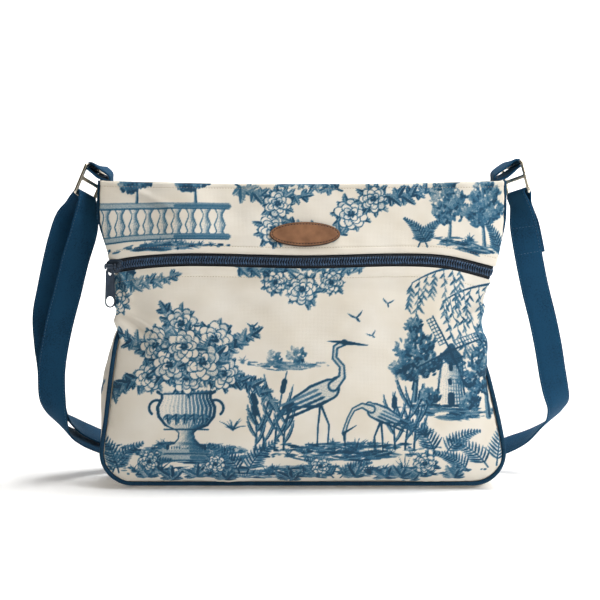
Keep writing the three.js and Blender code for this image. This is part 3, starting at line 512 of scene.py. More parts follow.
def ink_at(x, y):
    """Ink on the cloth at a place of the repeat, in millimetres, blended between the nearest cells."""
    column, row = np.asarray(x) / CELL, np.asarray(y) / CELL
    left, low = np.floor(column).astype(int), np.floor(row).astype(int)
    s, t = column - left, row - low
    rows, columns = ink.shape
    pick = lambda j, i: ink[(low + j) % rows, (left + i) % columns]
    return (1 - t) * ((1 - s) * pick(0, 0) + s * pick(0, 1)) + t * ((1 - s) * pick(1, 0) + s * pick(1, 1))


# The printed canvas: plain-woven cotton, matt, with thick and thin yarns that show as a fine cross weave.
# The ink sits in the yarns, so it breaks up a little along its edges.
YARN = 1.2  # real yarns lie 0.5 mm apart; drawn coarser so that the weave shows
GRAIN, MOTTLE = 1.1, 45  # sizes of the breaks in the ink and of the paler patches
canvas, tree = finish("printed_canvas")
flat = node(tree, "UVMap", {})
printed = node(tree, "Attribute", {}, out="Fac", attribute_name="ink")
grain = node(tree, "TexNoise", {"Vector": flat, "Scale": 1 / (GRAIN * MM), "Detail": 2.0})
broken = node(tree, "Math", {0: grain, 1: -0.5}, operation="ADD")
worn = node(tree, "Math", {0: broken, 1: 0.38, 2: printed}, operation="MULTIPLY_ADD")
inked = node(tree, "ValToRGB", {"Fac": worn}, {
    0.07: "#ded9cf", 0.19: "#a5b2b7", 0.36: "#5b7f93", 0.55: "#2a5e7d", 0.76: "#163d57"})
patchy = node(tree, "TexNoise", {"Vector": flat, "Scale": 1 / (MOTTLE * MM), "Detail": 3.0})
mottle = node(tree, "ValToRGB", {"Fac": patchy}, {0.3: "#f3efe8", 0.7: "#ffffff"})
colour = node(tree, "Mix", {0: 1.0, 6: inked, 7: mottle}, out=2, data_type="RGBA", blend_type="MULTIPLY")
weave = [node(tree, "TexWave", {
    "Vector": flat, "Scale": 0.1 * math.pi / (YARN * MM), "Distortion": 2.6, "Detail": 2.0,
    "Detail Scale": 2.0}, out=1, bands_direction=way) for way in ("X", "Y")]
crossed = node(tree, "Math", {0: weave[0], 1: weave[1]}, operation="ADD")
relief = node(tree, "Bump", {"Height": crossed, "Strength": 0.26, "Distance": 0.25 * MM})
cloth = node(tree, "BsdfPrincipled", {
    "Base Color": colour, "Roughness": 0.86, "Normal": relief, "Specular IOR Level": 0.3,
    "Sheen Weight": 0.12, "Sheen Roughness": 0.5})
node(tree, "OutputMaterial", {"Surface": cloth})

# Front lower panel: canvas below the zipper, cut with rounded lower corners and sewn into the piped seam. The
# bag is stuffed, so the panel bellies out, is drawn in at the waist and has its upper edge turned in under a
# stitch line.
CANVAS = 1.6
SEAM_INSET = 4.35  # from the outside of the piping to the panel's edge
PIPING_RADIUS = 2.0
SEAM_HEIGHT = 5.0
LOWEST = SEAM_HEIGHT + PIPING_RADIUS + 0.4
CORNER_RADIUS = 30.0
CORNER_TOP = SEAM_HEIGHT - PIPING_RADIUS + CORNER_RADIUS
CROWN_POWER = 1.2
ZIP_OPENING, ZIP_HALF = 12.0, 176
ZIP_STITCH = 9.0  # from the slit's lower edge to its stitch line
FOLD_ROUND = 1.1
GATHER_HEIGHT, GATHER_PITCH, GATHER_REACH = 0.32, 11, 6  # of the gathers along a seam
HEM_STEP, HEM_GROOVE = 0.45, 0.6  # how far a doubled edge stands up and its stitch line sinks in
LOWER_PRINT = 203  # place in the repeat of the print, here the height of the panel's top edge
OUTLINE = np.array([  # height, half-width left and right, lap over the piping left and right
    (5, 184, 183.5, 0, 0), (34, 184, 183.5, 0, 0), (64, 180, 178.3, 0, 0), (102, 175.5, 169.2, 0, 0),
    (134, 170.5, 160.5, 0, 5), (152, 165.5, 157.5, 5, 5), (174, 164.5, 163.5, 6, 2.8),
    (198, 171, 171.5, 3, 2.8), (224, 180.3, 180, 1.8, 2.2), (246, 186.4, 184.2, 0.9, 1),
    (280, 186, 184.2, 0.7, 0.7)])
PROFILE = np.array([  # height, depth of the front seam, belly front and back, gusset's bow left and right
    (5, -38, 0, 0, 3, 5), (14, -38, 11, 7, 3, 5), (40, -38, 20, 12, 5.5, 4), (97, -36, 25, 14, 10, 3),
    (152, -33, 23, 13, 3, 0), (207, -29, 18, 10, -3, -3), (247, -23, 10, 6, -3, -3),
    (280, -19, 3, 2, -3, -3)])
ZIP_LINE = np.array([  # across, height of the slit's upper edge
    (-180, 205.5), (-150, 211.1), (-100, 214.1), (0, 212.3), (90, 214), (130, 211.8), (165, 203.5),
    (185, 197)])
DENTS = (  # across, height, depth, reach across and up, lean in degrees
    (-150, 150, 6, 15, 24, 20), (150, 166, 6, 16, 26, -16), (60, 184, 3, 70, 9, -4), (-70, 188, 3, 50, 9, 4))
LOWER_CREASES = (  # start, end, depth and width
    ((-178, 166), (-112, 132), 3.0, 4), ((-176, 150), (-120, 104), 2.0, 6), ((170, 176), (118, 150), 2.8, 5),
    ((168, 150), (120, 110), 1.8, 7), ((-172, 204), (-158, 168), 1.8, 3))


def smooth_curve(table, column):
    """A smooth curve through one column of a table, read at any value of its first column."""
    places, values = table[:, 0], table[:, column]
    ahead = np.minimum(np.arange(len(places)) + 1, len(places) - 1)
    behind = np.maximum(np.arange(len(places)) - 1, 0)
    slopes = (values[ahead] - values[behind]) / (places[ahead] - places[behind])

    def read(at):
        i = np.clip(np.searchsorted(places, at, side="right") - 1, 0, len(places) - 2)
        step = places[i + 1] - places[i]
        s = np.clip((at - places[i]) / step, 0, 1)
        rise = values[i + 1] - values[i]
        first, last = slopes[i] * step, slopes[i + 1] * step
        square, cube = 3 * rise - 2 * first - last, first + last - 2 * rise
        return values[i] + first * s + square * s ** 2 + cube * s ** 3

    return read


half_left, half_right, lap_left, lap_right = (smooth_curve(OUTLINE, k) for k in (1, 2, 3, 4))
seam_front, belly_front, belly_back, bow_left, bow_right = (smooth_curve(PROFILE, k) for k in (1, 2, 3, 4, 5))
zip_line = smooth_curve(ZIP_LINE, 1)


def edge_at(t, z, inset):
    """Half-width of the bag at a height, rounded at the lower corners; t is negative on the left."""
    straight = np.where(t < 0, half_left(z), half_right(z)) - inset
    radius = CORNER_RADIUS - inset
    below = np.clip(CORNER_TOP - z, 0, radius)
    return straight - radius + np.sqrt(radius ** 2 - below ** 2)


def lap_at(side, z):
    """How far the front laps over the piping at a height."""
    return np.maximum(np.where(side < 0, lap_left(z), lap_right(z)), 0)


def front_cloth(t, z):
    """A point of the front: t runs from -1 at the left seam to 1 at the right seam."""
    edge = edge_at(t, z, SEAM_INSET)
    lap = lap_at(t, z)
    swell = np.sqrt((lap + SEAM_INSET * np.minimum(lap / 5, 1)) * edge / 2)
    angle = math.pi / 2 * t
    x = edge * np.sin(angle) + swell * np.sin(2 * angle)
    crown = np.maximum(np.cos(angle), 0) ** CROWN_POWER
    dent = 0
    for middle_x, middle_z, depth, reach_x, reach_z, lean in DENTS:
        c, s = math.cos(math.radians(lean)), math.sin(math.radians(lean))
        across = (x - middle_x) * c + (z - middle_z) * s
        along = (z - middle_z) * c - (x - middle_x) * s
        dent = dent + depth * np.exp(-(across / reach_x) ** 2 - (along / reach_z) ** 2)
    return np.stack([x, seam_front(z) - belly_front(z) * crown + dent * np.minimum(1, 4 * crown), z], -1)


def zip_at(t):
    """Height of the slit's upper edge."""
    return zip_line(front_cloth(t, zip_line(ZIP_HALF * np.sin(math.pi / 2 * t)))[..., 0])


def lower_front(u, v):
    t = 2 * u - 1
    high = zip_at(t) - ZIP_OPENING
    return front_cloth(t, LOWEST + (high - LOWEST) * (1 - np.cos(math.pi / 2 * v)))


def run_along(points):
    return np.append(0, np.cumsum(np.linalg.norm(np.diff(points, axis=0), axis=1)))


def spread(surface, columns, rows):
    """Points of a cloth surface on a grid whose columns and rows lie evenly over the cloth."""
    share = np.linspace(0, 1, 801)
    middle = np.full_like(share, 0.5)
    even = lambda run, count: np.interp(np.linspace(0, run[-1], count + 1), run, share)
    across = even(run_along(surface(share, middle)), columns)
    up = even(run_along(surface(middle, share)), rows)
    return surface(*np.meshgrid(across, up))


def unit(vectors):
    return vectors / np.linalg.norm(vectors, axis=-1, keepdims=True)


def facing(points):
    """Unit normals of a grid of points, outwards."""
    return unit(np.cross(np.gradient(points, axis=1), np.gradient(points, axis=0)))


def flat_cloth(points):
    """Each point's place on the flat cloth: across from the middle column and up from the lowest row."""
    steps = np.linalg.norm(np.diff(points, axis=1), axis=2)
    run = np.concatenate([np.zeros((len(points), 1)), np.cumsum(steps, axis=1)], axis=1)
    middle = points.shape[1] // 2
    up = run_along(points[:, middle])
    return run - run[:, middle:middle + 1], np.broadcast_to(up[:, None], run.shape)


def ripple(x, y, size, seed):
    """Soft lumps of about one height, as wide as the size given."""
    waves = np.random.default_rng(seed)
    total = 0
    for _ in range(10):
        angle, phase = waves.uniform(0, 2 * math.pi, 2)
        pace = 2 * math.pi / (size * waves.uniform(0.7, 1.6))
        total = total + np.cos(pace * (x * math.cos(angle) + y * math.sin(angle)) + phase)
    return total / math.sqrt(10)


def rolled(away):
    """How far a folded edge drops below the face, by the distance from the edge."""
    inside = np.clip(1 - away / FOLD_ROUND, 0, 1)
    return -FOLD_ROUND * (1 - np.sqrt(1 - inside ** 2))


def pucker(along, away, seed):
    """Small gathers that a seam draws into the cloth beside it."""
    bend = along + 3 * ripple(along, 0 * along, 40, seed)
    wave = GATHER_HEIGHT * np.cos(2 * math.pi * bend / GATHER_PITCH)
    return wave * np.exp(-away / GATHER_REACH) * np.clip(away / 1.5, 0, 1)


def hem(away, line):
    """The doubled cloth of a turned edge and the groove of its stitch line, by the distance from the edge."""
    doubled = HEM_STEP / (1 + np.exp(np.minimum((away - line - 1.2) / 0.5, 60)))
    return doubled - HEM_GROOVE * np.exp(-((away - line) / 0.8) ** 2)


def crease(x, z, start, end, depth, width):
    """A soft fold along a line: a groove with a raised lip beside it, fading out at both ends."""
    start, end = np.asarray(start, float), np.asarray(end, float)
    length = np.linalg.norm(end - start)
    way = (end - start) / length
    along = ((x - start[0]) * way[0] + (z - start[1]) * way[1]) / length
    away = ((z - start[1]) * way[0] - (x - start[0]) * way[1]) / width
    fade = np.clip(4 * along * (1 - along), 0, 1) ** 0.7
    return depth * fade * (np.exp(-(away - 1.5) ** 2) - 0.7 * np.exp(-away ** 2))


def sew(name, outer, surface, coarse, values, depth, material):
    """A closed wall of cloth: the fine outer face, a coarser inner face and a rim that joins them."""
    rows, columns = outer.shape[0] - 1, outer.shape[1] - 1
    lining_points = spread(surface, *coarse)
    lining_points = lining_points - depth * facing(lining_points)
    bm = bmesh.new()
    bmesh.ops.create_grid(bm, x_segments=columns, y_segments=rows, size=0.5)
    lining = bmesh.ops.create_grid(bm, x_segments=coarse[0], y_segments=coarse[1], size=0.5)["verts"]
    bmesh.ops.translate(bm, verts=lining, vec=(0, 0, -1))
    bmesh.ops.reverse_faces(bm, faces=list({face for vert in lining for face in vert.link_faces}))
    bmesh.ops.bridge_loops(bm, edges=[edge for edge in bm.edges if edge.is_boundary])
    piece = add_piece(name, bm, material)
    mesh = piece.data
    places = np.empty(3 * len(mesh.vertices))
    mesh.vertices.foreach_get("co", places)
    places = places.reshape(-1, 3)
    face = places[:, 2] > -0.5
    share = places[:, :2] + 0.5
    fine = np.rint(share * (columns, rows)).astype(int)
    wide = np.rint(share * coarse).astype(int)
    inner = (np.minimum(wide[:, 1], coarse[1]), np.minimum(wide[:, 0], coarse[0]))
    spots = np.where(face[:, None], outer[fine[:, 1], fine[:, 0]], lining_points[inner])
    mesh.vertices.foreach_set("co", (spots * MM).ravel())
    tone = np.where(face, values[fine[:, 1], fine[:, 0]], 0)
    mesh.attributes.new("ink", "FLOAT", "POINT").data.foreach_set("value", tone)
    flat_spots = np.stack(flat_cloth(outer), -1)[fine[:, 1], fine[:, 0]] * MM
    corners = np.empty(len(mesh.loops), int)
    mesh.loops.foreach_get("vertex_index", corners)
    mesh.uv_layers.new(name="flat").data.foreach_set("uv", flat_spots[corners].ravel())
    mesh.update()
    return piece


def area_of(points):
    """Area of a grid of points in square metres."""
    cells = np.cross(points[1:, 1:] - points[:-1, :-1], points[1:, :-1] - points[:-1, 1:])
    return np.linalg.norm(cells, axis=2).sum() / 2 * MM ** 2


def hand_over(piece, stands_for=None, body="bag"):
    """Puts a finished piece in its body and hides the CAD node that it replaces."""
    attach(piece, body)
    if stands_for:
        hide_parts(stands_for)


def canvas_panel(name, stands_for, surface, fine, coarse, lumps, gathers, hems, creases, print_at,
                 strip=False):
    """Sews a panel of canvas with its lumps, gathers, hems and creases, and hands it over. It gives the outer
    face, its normals, its print and the rise of its rows. A strip has its lumps laid out along its length."""
    points = spread(surface, *fine)
    across, up = flat_cloth(points)
    away = {"top": up[-1:] - up, "left": across - across[:, :1], "right": across[:, -1:] - across, "base": up}
    x, z = (across, up) if strip else (points[..., 0], points[..., 2])
    lift = sum(height * ripple(x, z, size, seed) for height, size, seed in lumps)
    lift += sum(rolled(edge) for edge in away.values())
    for edge, seed in gathers.items():
        lift += pucker(across if edge in ("top", "base") else up, away[edge], seed)
    lift += sum(hem(away[edge], line) for edge, line in hems.items())
    for line in creases:
        lift += crease(x, z, *line)
    deepest = 0.8 * CANVAS  # grooves stay shallower than the wall
    lift = np.where(lift < 0, deepest * np.tanh(lift / deepest), lift)
    normals = facing(points)
    outer = points + lift[..., None] * normals
    outer[..., 2] = np.maximum(outer[..., 2], 0)
    tones = print_at(across, up)
    piece = sew(name, outer, surface, coarse, tones, CANVAS, canvas)
    hand_over(piece, stands_for)
    area_of(points)
    return outer, normals, tones, up[:, 0]


lower_panel = canvas_panel(
    "lower_panel", "front_lower_panel", lower_front, fine=(404, 238), coarse=(60, 34),
    lumps=((0.7, 75, 1), (0.25, 26, 2)), gathers={"left": 3, "right": 4, "base": 5}, hems={"top": ZIP_STITCH},
    creases=LOWER_CREASES, print_at=lambda across, up: ink_at(across + HALF, up - up[-1:] + LOWER_PRINT))

# Front upper panel: the canvas band between the zipper and the mouth, turned in along both edges and stitched
# down twice. It carries the leather patch.
BAND_STITCH, HEM_STITCH = 6.5, 4.5
MOUTH_HEIGHT, MOUTH_RISE, MOUTH_HALF, HEM_HALF = 275.5, 3, 182, 179
BAND_FOLDS = (  # across, lean, height and reach of the soft folds between hem and slit
    (-104, 0.4, 4.6, 30), (-40, -0.3, 1.6, 16), (118, -0.5, 2.0, 18), (158, 0.3, 1.4, 12))
BAND_MIDDLE, FOLD_FADE = 240, 16
UPPER_PRINT = 308
UPPER_CREASES = (((-178, 272), (-138, 260), 1.1, 3), ((-154, 264), (-112, 244), 1.5, 4))


def top_line(x):
    return MOUTH_HEIGHT + MOUTH_RISE * (x / MOUTH_HALF) ** 2


def upper_front(u, v):
    t = 2 * u - 1
    low = zip_at(t)
    points = front_cloth(t, low + (top_line(HEM_HALF * np.sin(math.pi / 2 * t)) - low) * v)
    x, z = points[..., 0], points[..., 2]
    for middle, lean, height, reach in BAND_FOLDS:
        fold = height * np.exp(-((x - middle + lean * (z - BAND_MIDDLE)) / reach) ** 2)
        points[..., 1] -= fold * np.clip((z - low) / FOLD_FADE, 0.3, 1)
    return points


upper_panel = canvas_panel(
    "upper_panel", "front_upper_panel", upper_front, fine=(430, 84), coarse=(60, 12),
    lumps=((0.5, 60, 6), (0.2, 22, 7)), gathers={"left": 8, "right": 9},
    hems={"base": BAND_STITCH, "top": HEM_STITCH}, creases=UPPER_CREASES,
    print_at=lambda across, up: ink_at(across + HALF, up + UPPER_PRINT))

# Back panel: one piece of canvas from the base to the mouth, sewn into the rear piping and hemmed at the top.
# It bellies out less than the front.
REAR_PRINT = (90, 4)
REAR_CREASES = [
    ((side * x0, z0), (side * x1, z1), depth, width) for side in (-1, 1)
    for x0, z0, x1, z1, depth, width in ((172, 176, 112, 140, 2.4, 5), (170, 156, 116, 108, 1.6, 7))]


def back_cloth(u, v):
    t = 1 - 2 * u
    angle = math.pi / 2 * t
    z = LOWEST + (top_line(HEM_HALF * np.sin(angle)) - LOWEST) * (1 - np.cos(math.pi / 2 * v))
    crown = np.maximum(np.cos(angle), 0) ** CROWN_POWER
    return np.stack([edge_at(t, z, SEAM_INSET) * np.sin(angle), belly_back(z) * crown - seam_front(z), z], -1)


rear_panel = canvas_panel(
    "rear_panel", "back_panel", back_cloth, fine=(330, 250), coarse=(44, 34),
    lumps=((0.9, 80, 12), (0.3, 28, 13)), gathers={"left": 14, "right": 15, "base": 16},
    hems={"top": HEM_STITCH}, creases=REAR_CREASES,
    print_at=lambda across, up: ink_at(across + REAR_PRINT[0], up + REAR_PRINT[1]))

# Gusset: one long strip of canvas from the mouth down one side, under the base and up the other side. It is
# sewn between the two piped seams, bows out at the sides and lies flat where the bag stands on it.
GUSSET_EDGE = PIPING_RADIUS + 0.35
GUSSET_TOP = 180  # half-width at which the mouth's line gives the height of the gusset's ends
GUSSET_ARCH = np.array([  # share of the depth, rise under the base, rise at the sides
    (0, 0, 0), (0.07, 0.72, 0.3), (0.17, 1, 0.62), (0.5, 1, 1), (0.83, 1, 0.62), (0.93, 0.72, 0.3),
    (1, 0, 0)])
LAP_SETBACK, LAP_START = 5.0, 0.7
SIDE_PRINT = (30, 236)
arch_base, arch_side = smooth_curve(GUSSET_ARCH, 1), smooth_curve(GUSSET_ARCH, 2)


def seam_line():
    """The seam round the bag, from the top left under the base to the top right, and its turn so far."""
    heights = np.linspace(float(top_line(GUSSET_TOP)), CORNER_TOP, 160)
    turns = np.linspace(0, 1, 40)
    radius = CORNER_RADIUS - PIPING_RADIUS
    halves = []
    for t, half in ((-1, half_left), (1, half_right)):
        round_x = half(CORNER_TOP) - CORNER_RADIUS + radius * np.cos(math.pi / 2 * turns)
        round_z = CORNER_TOP - radius * np.sin(math.pi / 2 * turns)
        xs = np.concatenate([edge_at(t, heights, PIPING_RADIUS), round_x[1:]])
        zs = np.concatenate([heights, round_z[1:]])
        turned_by = np.concatenate([0 * heights, turns[1:]])
        halves.append(np.stack([t * xs, zs, turned_by, np.full_like(xs, t)], -1))
    base_x = np.linspace(halves[0][-1, 0], halves[1][-1, 0], 60)[1:-1]
    base = np.stack([base_x, np.full_like(base_x, SEAM_HEIGHT), np.ones_like(base_x), np.sign(base_x)], -1)
    return np.concatenate([halves[0], base, halves[1][::-1]])


seam = seam_line()
seam_run = run_along(seam[:, :2])


def seam_at(share):
    """Place, turn, side and outward direction of the seam at a share of its length."""
    at = share * seam_run[-1]
    read = lambda where, k: np.interp(where, seam_run, seam[:, k])
    ahead = [read(at + 1.5, k) - read(at - 1.5, k) for k in (0, 1)]
    length = np.hypot(*ahead)
    return *(read(at, k) for k in range(4)), ahead[1] / length, -ahead[0] / length


def front_seam_depth(z, side):
    return seam_front(z) + LAP_SETBACK * (1 - np.exp(-lap_at(side, z) / LAP_START))


def gusset_cloth(u, v):
    x, z, turned_by, side, out_x, out_z = seam_at(u)
    front_edge, back_edge = front_seam_depth(z, side) + GUSSET_EDGE, -seam_front(z) - GUSSET_EDGE
    bow = np.where(side < 0, bow_left(z), bow_right(z)) * arch_side(v)
    rise = bow + (SEAM_HEIGHT * arch_base(v) - bow) * turned_by
    return np.stack([x + out_x * rise, back_edge + (front_edge - back_edge) * v, z + out_z * rise], -1)


canvas_panel(
    "side_strip", "gusset", gusset_cloth, fine=(760, 70), coarse=(140, 14),
    lumps=((0.5, 55, 21), (0.2, 20, 22)), gathers={"base": 23, "top": 24},
    hems={"left": HEM_STITCH, "right": HEM_STITCH}, creases=(),
    print_at=lambda across, up: ink_at(across + SIDE_PRINT[0], up + SIDE_PRINT[1]), strip=True)

# Piping: a cord covered in bias-cut navy cotton, sewn into both seams from mouth to mouth. The bias cover is
# drawn tight round the cord and shows fine slanting ribs.
TWILL = 1.1  # real ribs lie 0.6 mm apart; drawn coarser so that they show
LINT, RUBBED = 1.6, 30  # sizes of the lint and of the patches where the dye has rubbed


def navy_cotton(name, deep, light, rib_angle):
    """Dyed cotton twill: matt navy, paler where the dye has rubbed, with slanting ribs and a blue sheen."""
    material, tree = finish(name)
    flat = node(tree, "UVMap", {})
    slanted = node(tree, "Mapping", {"Vector": flat, "Rotation": (0, 0, math.radians(rib_angle))})
    ribs = node(tree, "TexWave", {"Vector": slanted, "Scale": 0.1 * math.pi / (TWILL * MM), "Distortion": 1.5,
                                  "Detail": 1.0, "Detail Scale": 2.0}, out=1)
    lint = node(tree, "TexNoise", {"Vector": flat, "Scale": 1 / (LINT * MM), "Detail": 3.0})
    cloud = node(tree, "TexNoise", {"Vector": flat, "Scale": 1 / (RUBBED * MM), "Detail": 2.0})
    mixed = node(tree, "Math", {0: ribs, 1: 0.3, 2: lint}, operation="MULTIPLY_ADD")
    shade = node(tree, "Math", {0: cloud, 1: 0.8, 2: mixed}, operation="MULTIPLY_ADD")
    colour = node(tree, "ValToRGB", {"Fac": shade}, {0.62: deep, 1.0: light})
    height = node(tree, "Math", {0: lint, 1: 0.6, 2: ribs}, operation="MULTIPLY_ADD")
    relief = node(tree, "Bump", {"Height": height, "Strength": 0.4, "Distance": 0.25 * MM})
    cotton = node(tree, "BsdfPrincipled", {
        "Base Color": colour, "Roughness": 0.8, "Normal": relief, "Specular IOR Level": 0.12,
        "Sheen Weight": 0.14, "Sheen Roughness": 0.4, "Sheen Tint": "#6f9cc4"})
    node(tree, "OutputMaterial", {"Surface": cotton})
    return material


def square_to(across, tangent):
    """The unit way across a path, made square to its tangent."""
    return unit(across - (across * tangent).sum(1)[:, None] * tangent)


def sweep(name, path, across, section, material):
    """A closed section swept along a path: across is the way of its first axis. UV runs along and across."""
    tangent = unit(np.gradient(path, axis=0))
    across = square_to(across, tangent)
    up = np.cross(tangent, across)
    run = run_along(path)
    bm = bmesh.new()
    ring = [bm.verts.new((a, b, 0)) for a, b in section]
    edges = [bm.edges.new((ring[k - 1], ring[k])) for k in range(len(ring))]
    bmesh.ops.spin(bm, geom=ring + edges, axis=(0, 0, 1), dvec=(0, 0, 1), angle=0, steps=len(path) - 1)
    bmesh.ops.holes_fill(bm, edges=[edge for edge in bm.edges if edge.is_boundary])
    uv = bm.loops.layers.uv.new("flat")
    for face in bm.faces:
        for loop in face.loops:
            loop[uv].uv = (run[round(loop.vert.co.z)] * MM, loop.vert.co.x * MM)
    for vert in bm.verts:
        k = round(vert.co.z)
        vert.co = (path[k] + vert.co.x * across[k] + vert.co.y * up[k]) * MM
    bmesh.ops.recalc_face_normals(bm, faces=bm.faces)
    return add_piece(name, bm, material)


bias_cotton = navy_cotton("bias_cotton", "#071d2f", "#16384f", 45)
round_section = np.array([(math.cos(a), math.sin(a)) for a in 2 * math.pi * np.arange(14) / 14])
seam_x, seam_z, _, seam_side, _, _ = seam_at(np.linspace(0, 1, 420))
for name, depth in (
        ("piping_front", front_seam_depth(seam_z, seam_side)), ("piping_back", -seam_front(seam_z))):
    path = np.stack([seam_x, depth, seam_z], -1)
    into = np.broadcast_to(np.array([0.0, 1.0, 0.0]), path.shape)
    cord = sweep(name + "_cord", path, into, round_section * PIPING_RADIUS, bias_cotton)
    hand_over(cord, name)

# Zipper tape: a woven polyester tape in dark navy, sewn in behind the slit along both its edges. A raised
# cord runs along it on each side of the teeth.
TAPE_DEPTH, TAPE_WALL = CANVAS + 1.2, 0.9
TAPE_COVER = 4.0
TAPE_RIB = 0.9
TAPE_START, TAPE_END = -0.93, 0.985
woven_polyester, tree = finish("woven_polyester")
flat = node(tree, "UVMap", {})
herringbone = [node(tree, "TexWave", {
    "Vector": flat, "Scale": 0.1 * math.pi / (TAPE_RIB * MM), "Distortion": 0.6},
    out=1, bands_direction=way) for way in ("X", "Y")]
crossed = node(tree, "Math", {0: herringbone[0], 1: herringbone[1]}, operation="MULTIPLY")
colour = node(tree, "ValToRGB", {"Fac": crossed}, {0.1: "#0a1018", 0.9: "#1b2735"})
relief = node(tree, "Bump", {"Height": crossed, "Strength": 0.5, "Distance": 0.3 * MM})
polyester = node(tree, "BsdfPrincipled", {
    "Base Color": colour, "Roughness": 0.6, "Normal": relief, "Sheen Weight": 0.1, "Sheen Roughness": 0.4})
node(tree, "OutputMaterial", {"Surface": polyester})


def tape_cloth(u, v):
    t = TAPE_START + (TAPE_END - TAPE_START) * u
    low = zip_at(t) - ZIP_OPENING - TAPE_COVER
    return front_cloth(t, low + (ZIP_OPENING + 2 * TAPE_COVER) * v)


tape_points = spread(tape_cloth, 330, 22)
tape_outer = tape_points - TAPE_DEPTH * facing(tape_points)
no_print = np.zeros(tape_outer.shape[:2])
zip_tape = sew("zip_tape", tape_outer, tape_cloth, (60, 4), no_print, TAPE_DEPTH + TAPE_WALL, woven_polyester)
hand_over(zip_tape, "zipper_tape")
area_of(tape_points)

# Zipper teeth: two rows of nylon teeth, broad at the tape and narrow where they lock into each other along
# the middle of the slit. The cord that sews each row to the tape lies beside it.
TOOTH_PITCH, TOOTH_WIDTH, TOOTH_HEIGHT, TOOTH_SLANT = 2.3, 2.15, 1.7, 0.25
TOOTH_ROOT, TOOTH_TIP = 3.4, -0.3  # from the middle of the chain
TEETH_SUNK = 1.3
CHAIN_START, CHAIN_END = 0.065, 0.985
CORD_AWAY, CORD_SUNK, CORD_SECTION = 4.1, 2.3, (0.5, 0.6)
SPECK = 3
moulded_nylon, tree = finish("moulded_nylon")
spot = node(tree, "TexCoord", {}, out="Object")
speck = node(tree, "TexNoise", {"Vector": spot, "Scale": 1 / (SPECK * MM), "Detail": 2.0})
colour = node(tree, "ValToRGB", {"Fac": speck}, {0.3: "#1c3047", 0.7: "#3f5f80"})
gloss = node(tree, "MapRange", {"Value": speck, "To Min": 0.28, "To Max": 0.45})
nylon = node(tree, "BsdfPrincipled", {"Base Color": colour, "Roughness": gloss, "IOR": 1.53})
node(tree, "OutputMaterial", {"Surface": nylon})


def joined(name, stamp, places, material):
    """One mesh of many copies of a small shape, each placed by its middle and three axes, in millimetres."""
    corners = np.array([vert.co[:] for vert in stamp.verts])
    faces = [[vert.index for vert in face.verts] for face in stamp.faces]
    stamp.free()
    spots = places[:, None, 0] + np.einsum("vk,nkc->nvc", corners, places[:, 1:])
    every = [[k * len(corners) + corner for corner in face] for k in range(len(places)) for face in faces]
    mesh = bpy.data.meshes.new(name)
    mesh.from_pydata((spots.reshape(-1, 3) * MM).tolist(), [], every)
    return add_piece(name, mesh, material)


def on_slit(u, v, sunk):
    """Points of the slit's surface, v from its lower edge to its upper, sunk in, with outward normals."""

    def surface(u, v):
        t = 2 * u - 1
        return front_cloth(t, zip_at(t) + ZIP_OPENING * (v - 1))

    small = 1e-3
    across = surface(u + small, v) - surface(u - small, v)
    out = unit(np.cross(across, surface(u, v + small) - surface(u, v - small)))
    return surface(u, v) - sunk * out, out


def read_along(values, run, at):
    """Vectors given along a run, read at any lengths of it."""
    return np.stack([np.interp(at, run, values[:, k]) for k in range(3)], -1)


def paced(path, out, pitch, start):
    """Middles and axes (along, across, out) at even steps along a path."""
    run = run_along(path)
    at = np.arange(start, run[-1], pitch)
    along = unit(read_along(np.gradient(path, axis=0), run, at))
    out = square_to(read_along(out, run, at), along)
    return np.stack([read_along(path, run, at), along, np.cross(out, along), out], 1)


teeth = []
row_u = np.linspace(CHAIN_START, CHAIN_END, 500)
for side, start in ((-1, 0.0), (1, TOOTH_PITCH / 2)):
    middle = np.full_like(row_u, 0.5 + side * (TOOTH_ROOT + TOOTH_TIP) / 2 / ZIP_OPENING)
    row = paced(*on_slit(row_u, middle, TEETH_SUNK), TOOTH_PITCH, start)
    row[:, 2] = -side * (TOOTH_ROOT - TOOTH_TIP) * (row[:, 2] + side * TOOTH_SLANT * row[:, 1])
    row[:, 1] *= -side * TOOTH_WIDTH
    row[:, 3] *= TOOTH_HEIGHT
    teeth.append(row)
stamp = bmesh.new()
bmesh.ops.create_cube(stamp, size=1.0)
bmesh.ops.bevel(stamp, geom=stamp.edges[:], offset=0.3, offset_type="OFFSET", segments=2, profile=0.5,
                affect="EDGES", material=-1)
for vert in stamp.verts:
    inwards = vert.co.y + 0.5
    vert.co.x *= 1 - 0.8 * inwards
    vert.co.z *= 0.8 + 0.4 * inwards
hand_over(joined("zip_teeth", stamp, np.concatenate(teeth), moulded_nylon), "zipper_coil")
for name, side in (("lower", -1), ("upper", 1)):
    path, out = on_slit(row_u, np.full_like(row_u, 0.5 + side * CORD_AWAY / ZIP_OPENING), CORD_SUNK)
    cord = sweep("zip_cord_" + name, path, out, round_section * CORD_SECTION, woven_polyester)
    hand_over(cord)

# Top stitching on the canvas: lock stitches in cream cotton thread along both sides of the slit and round the
# hemmed mouth, each pulled a little into the cloth.
STITCH_PITCH, STITCH_LENGTH, THREAD = 2.5, 1.5, 0.7
TWIST = 2
LINE_ENDS = 6  # columns of the cloth left without stitches at each end of a line


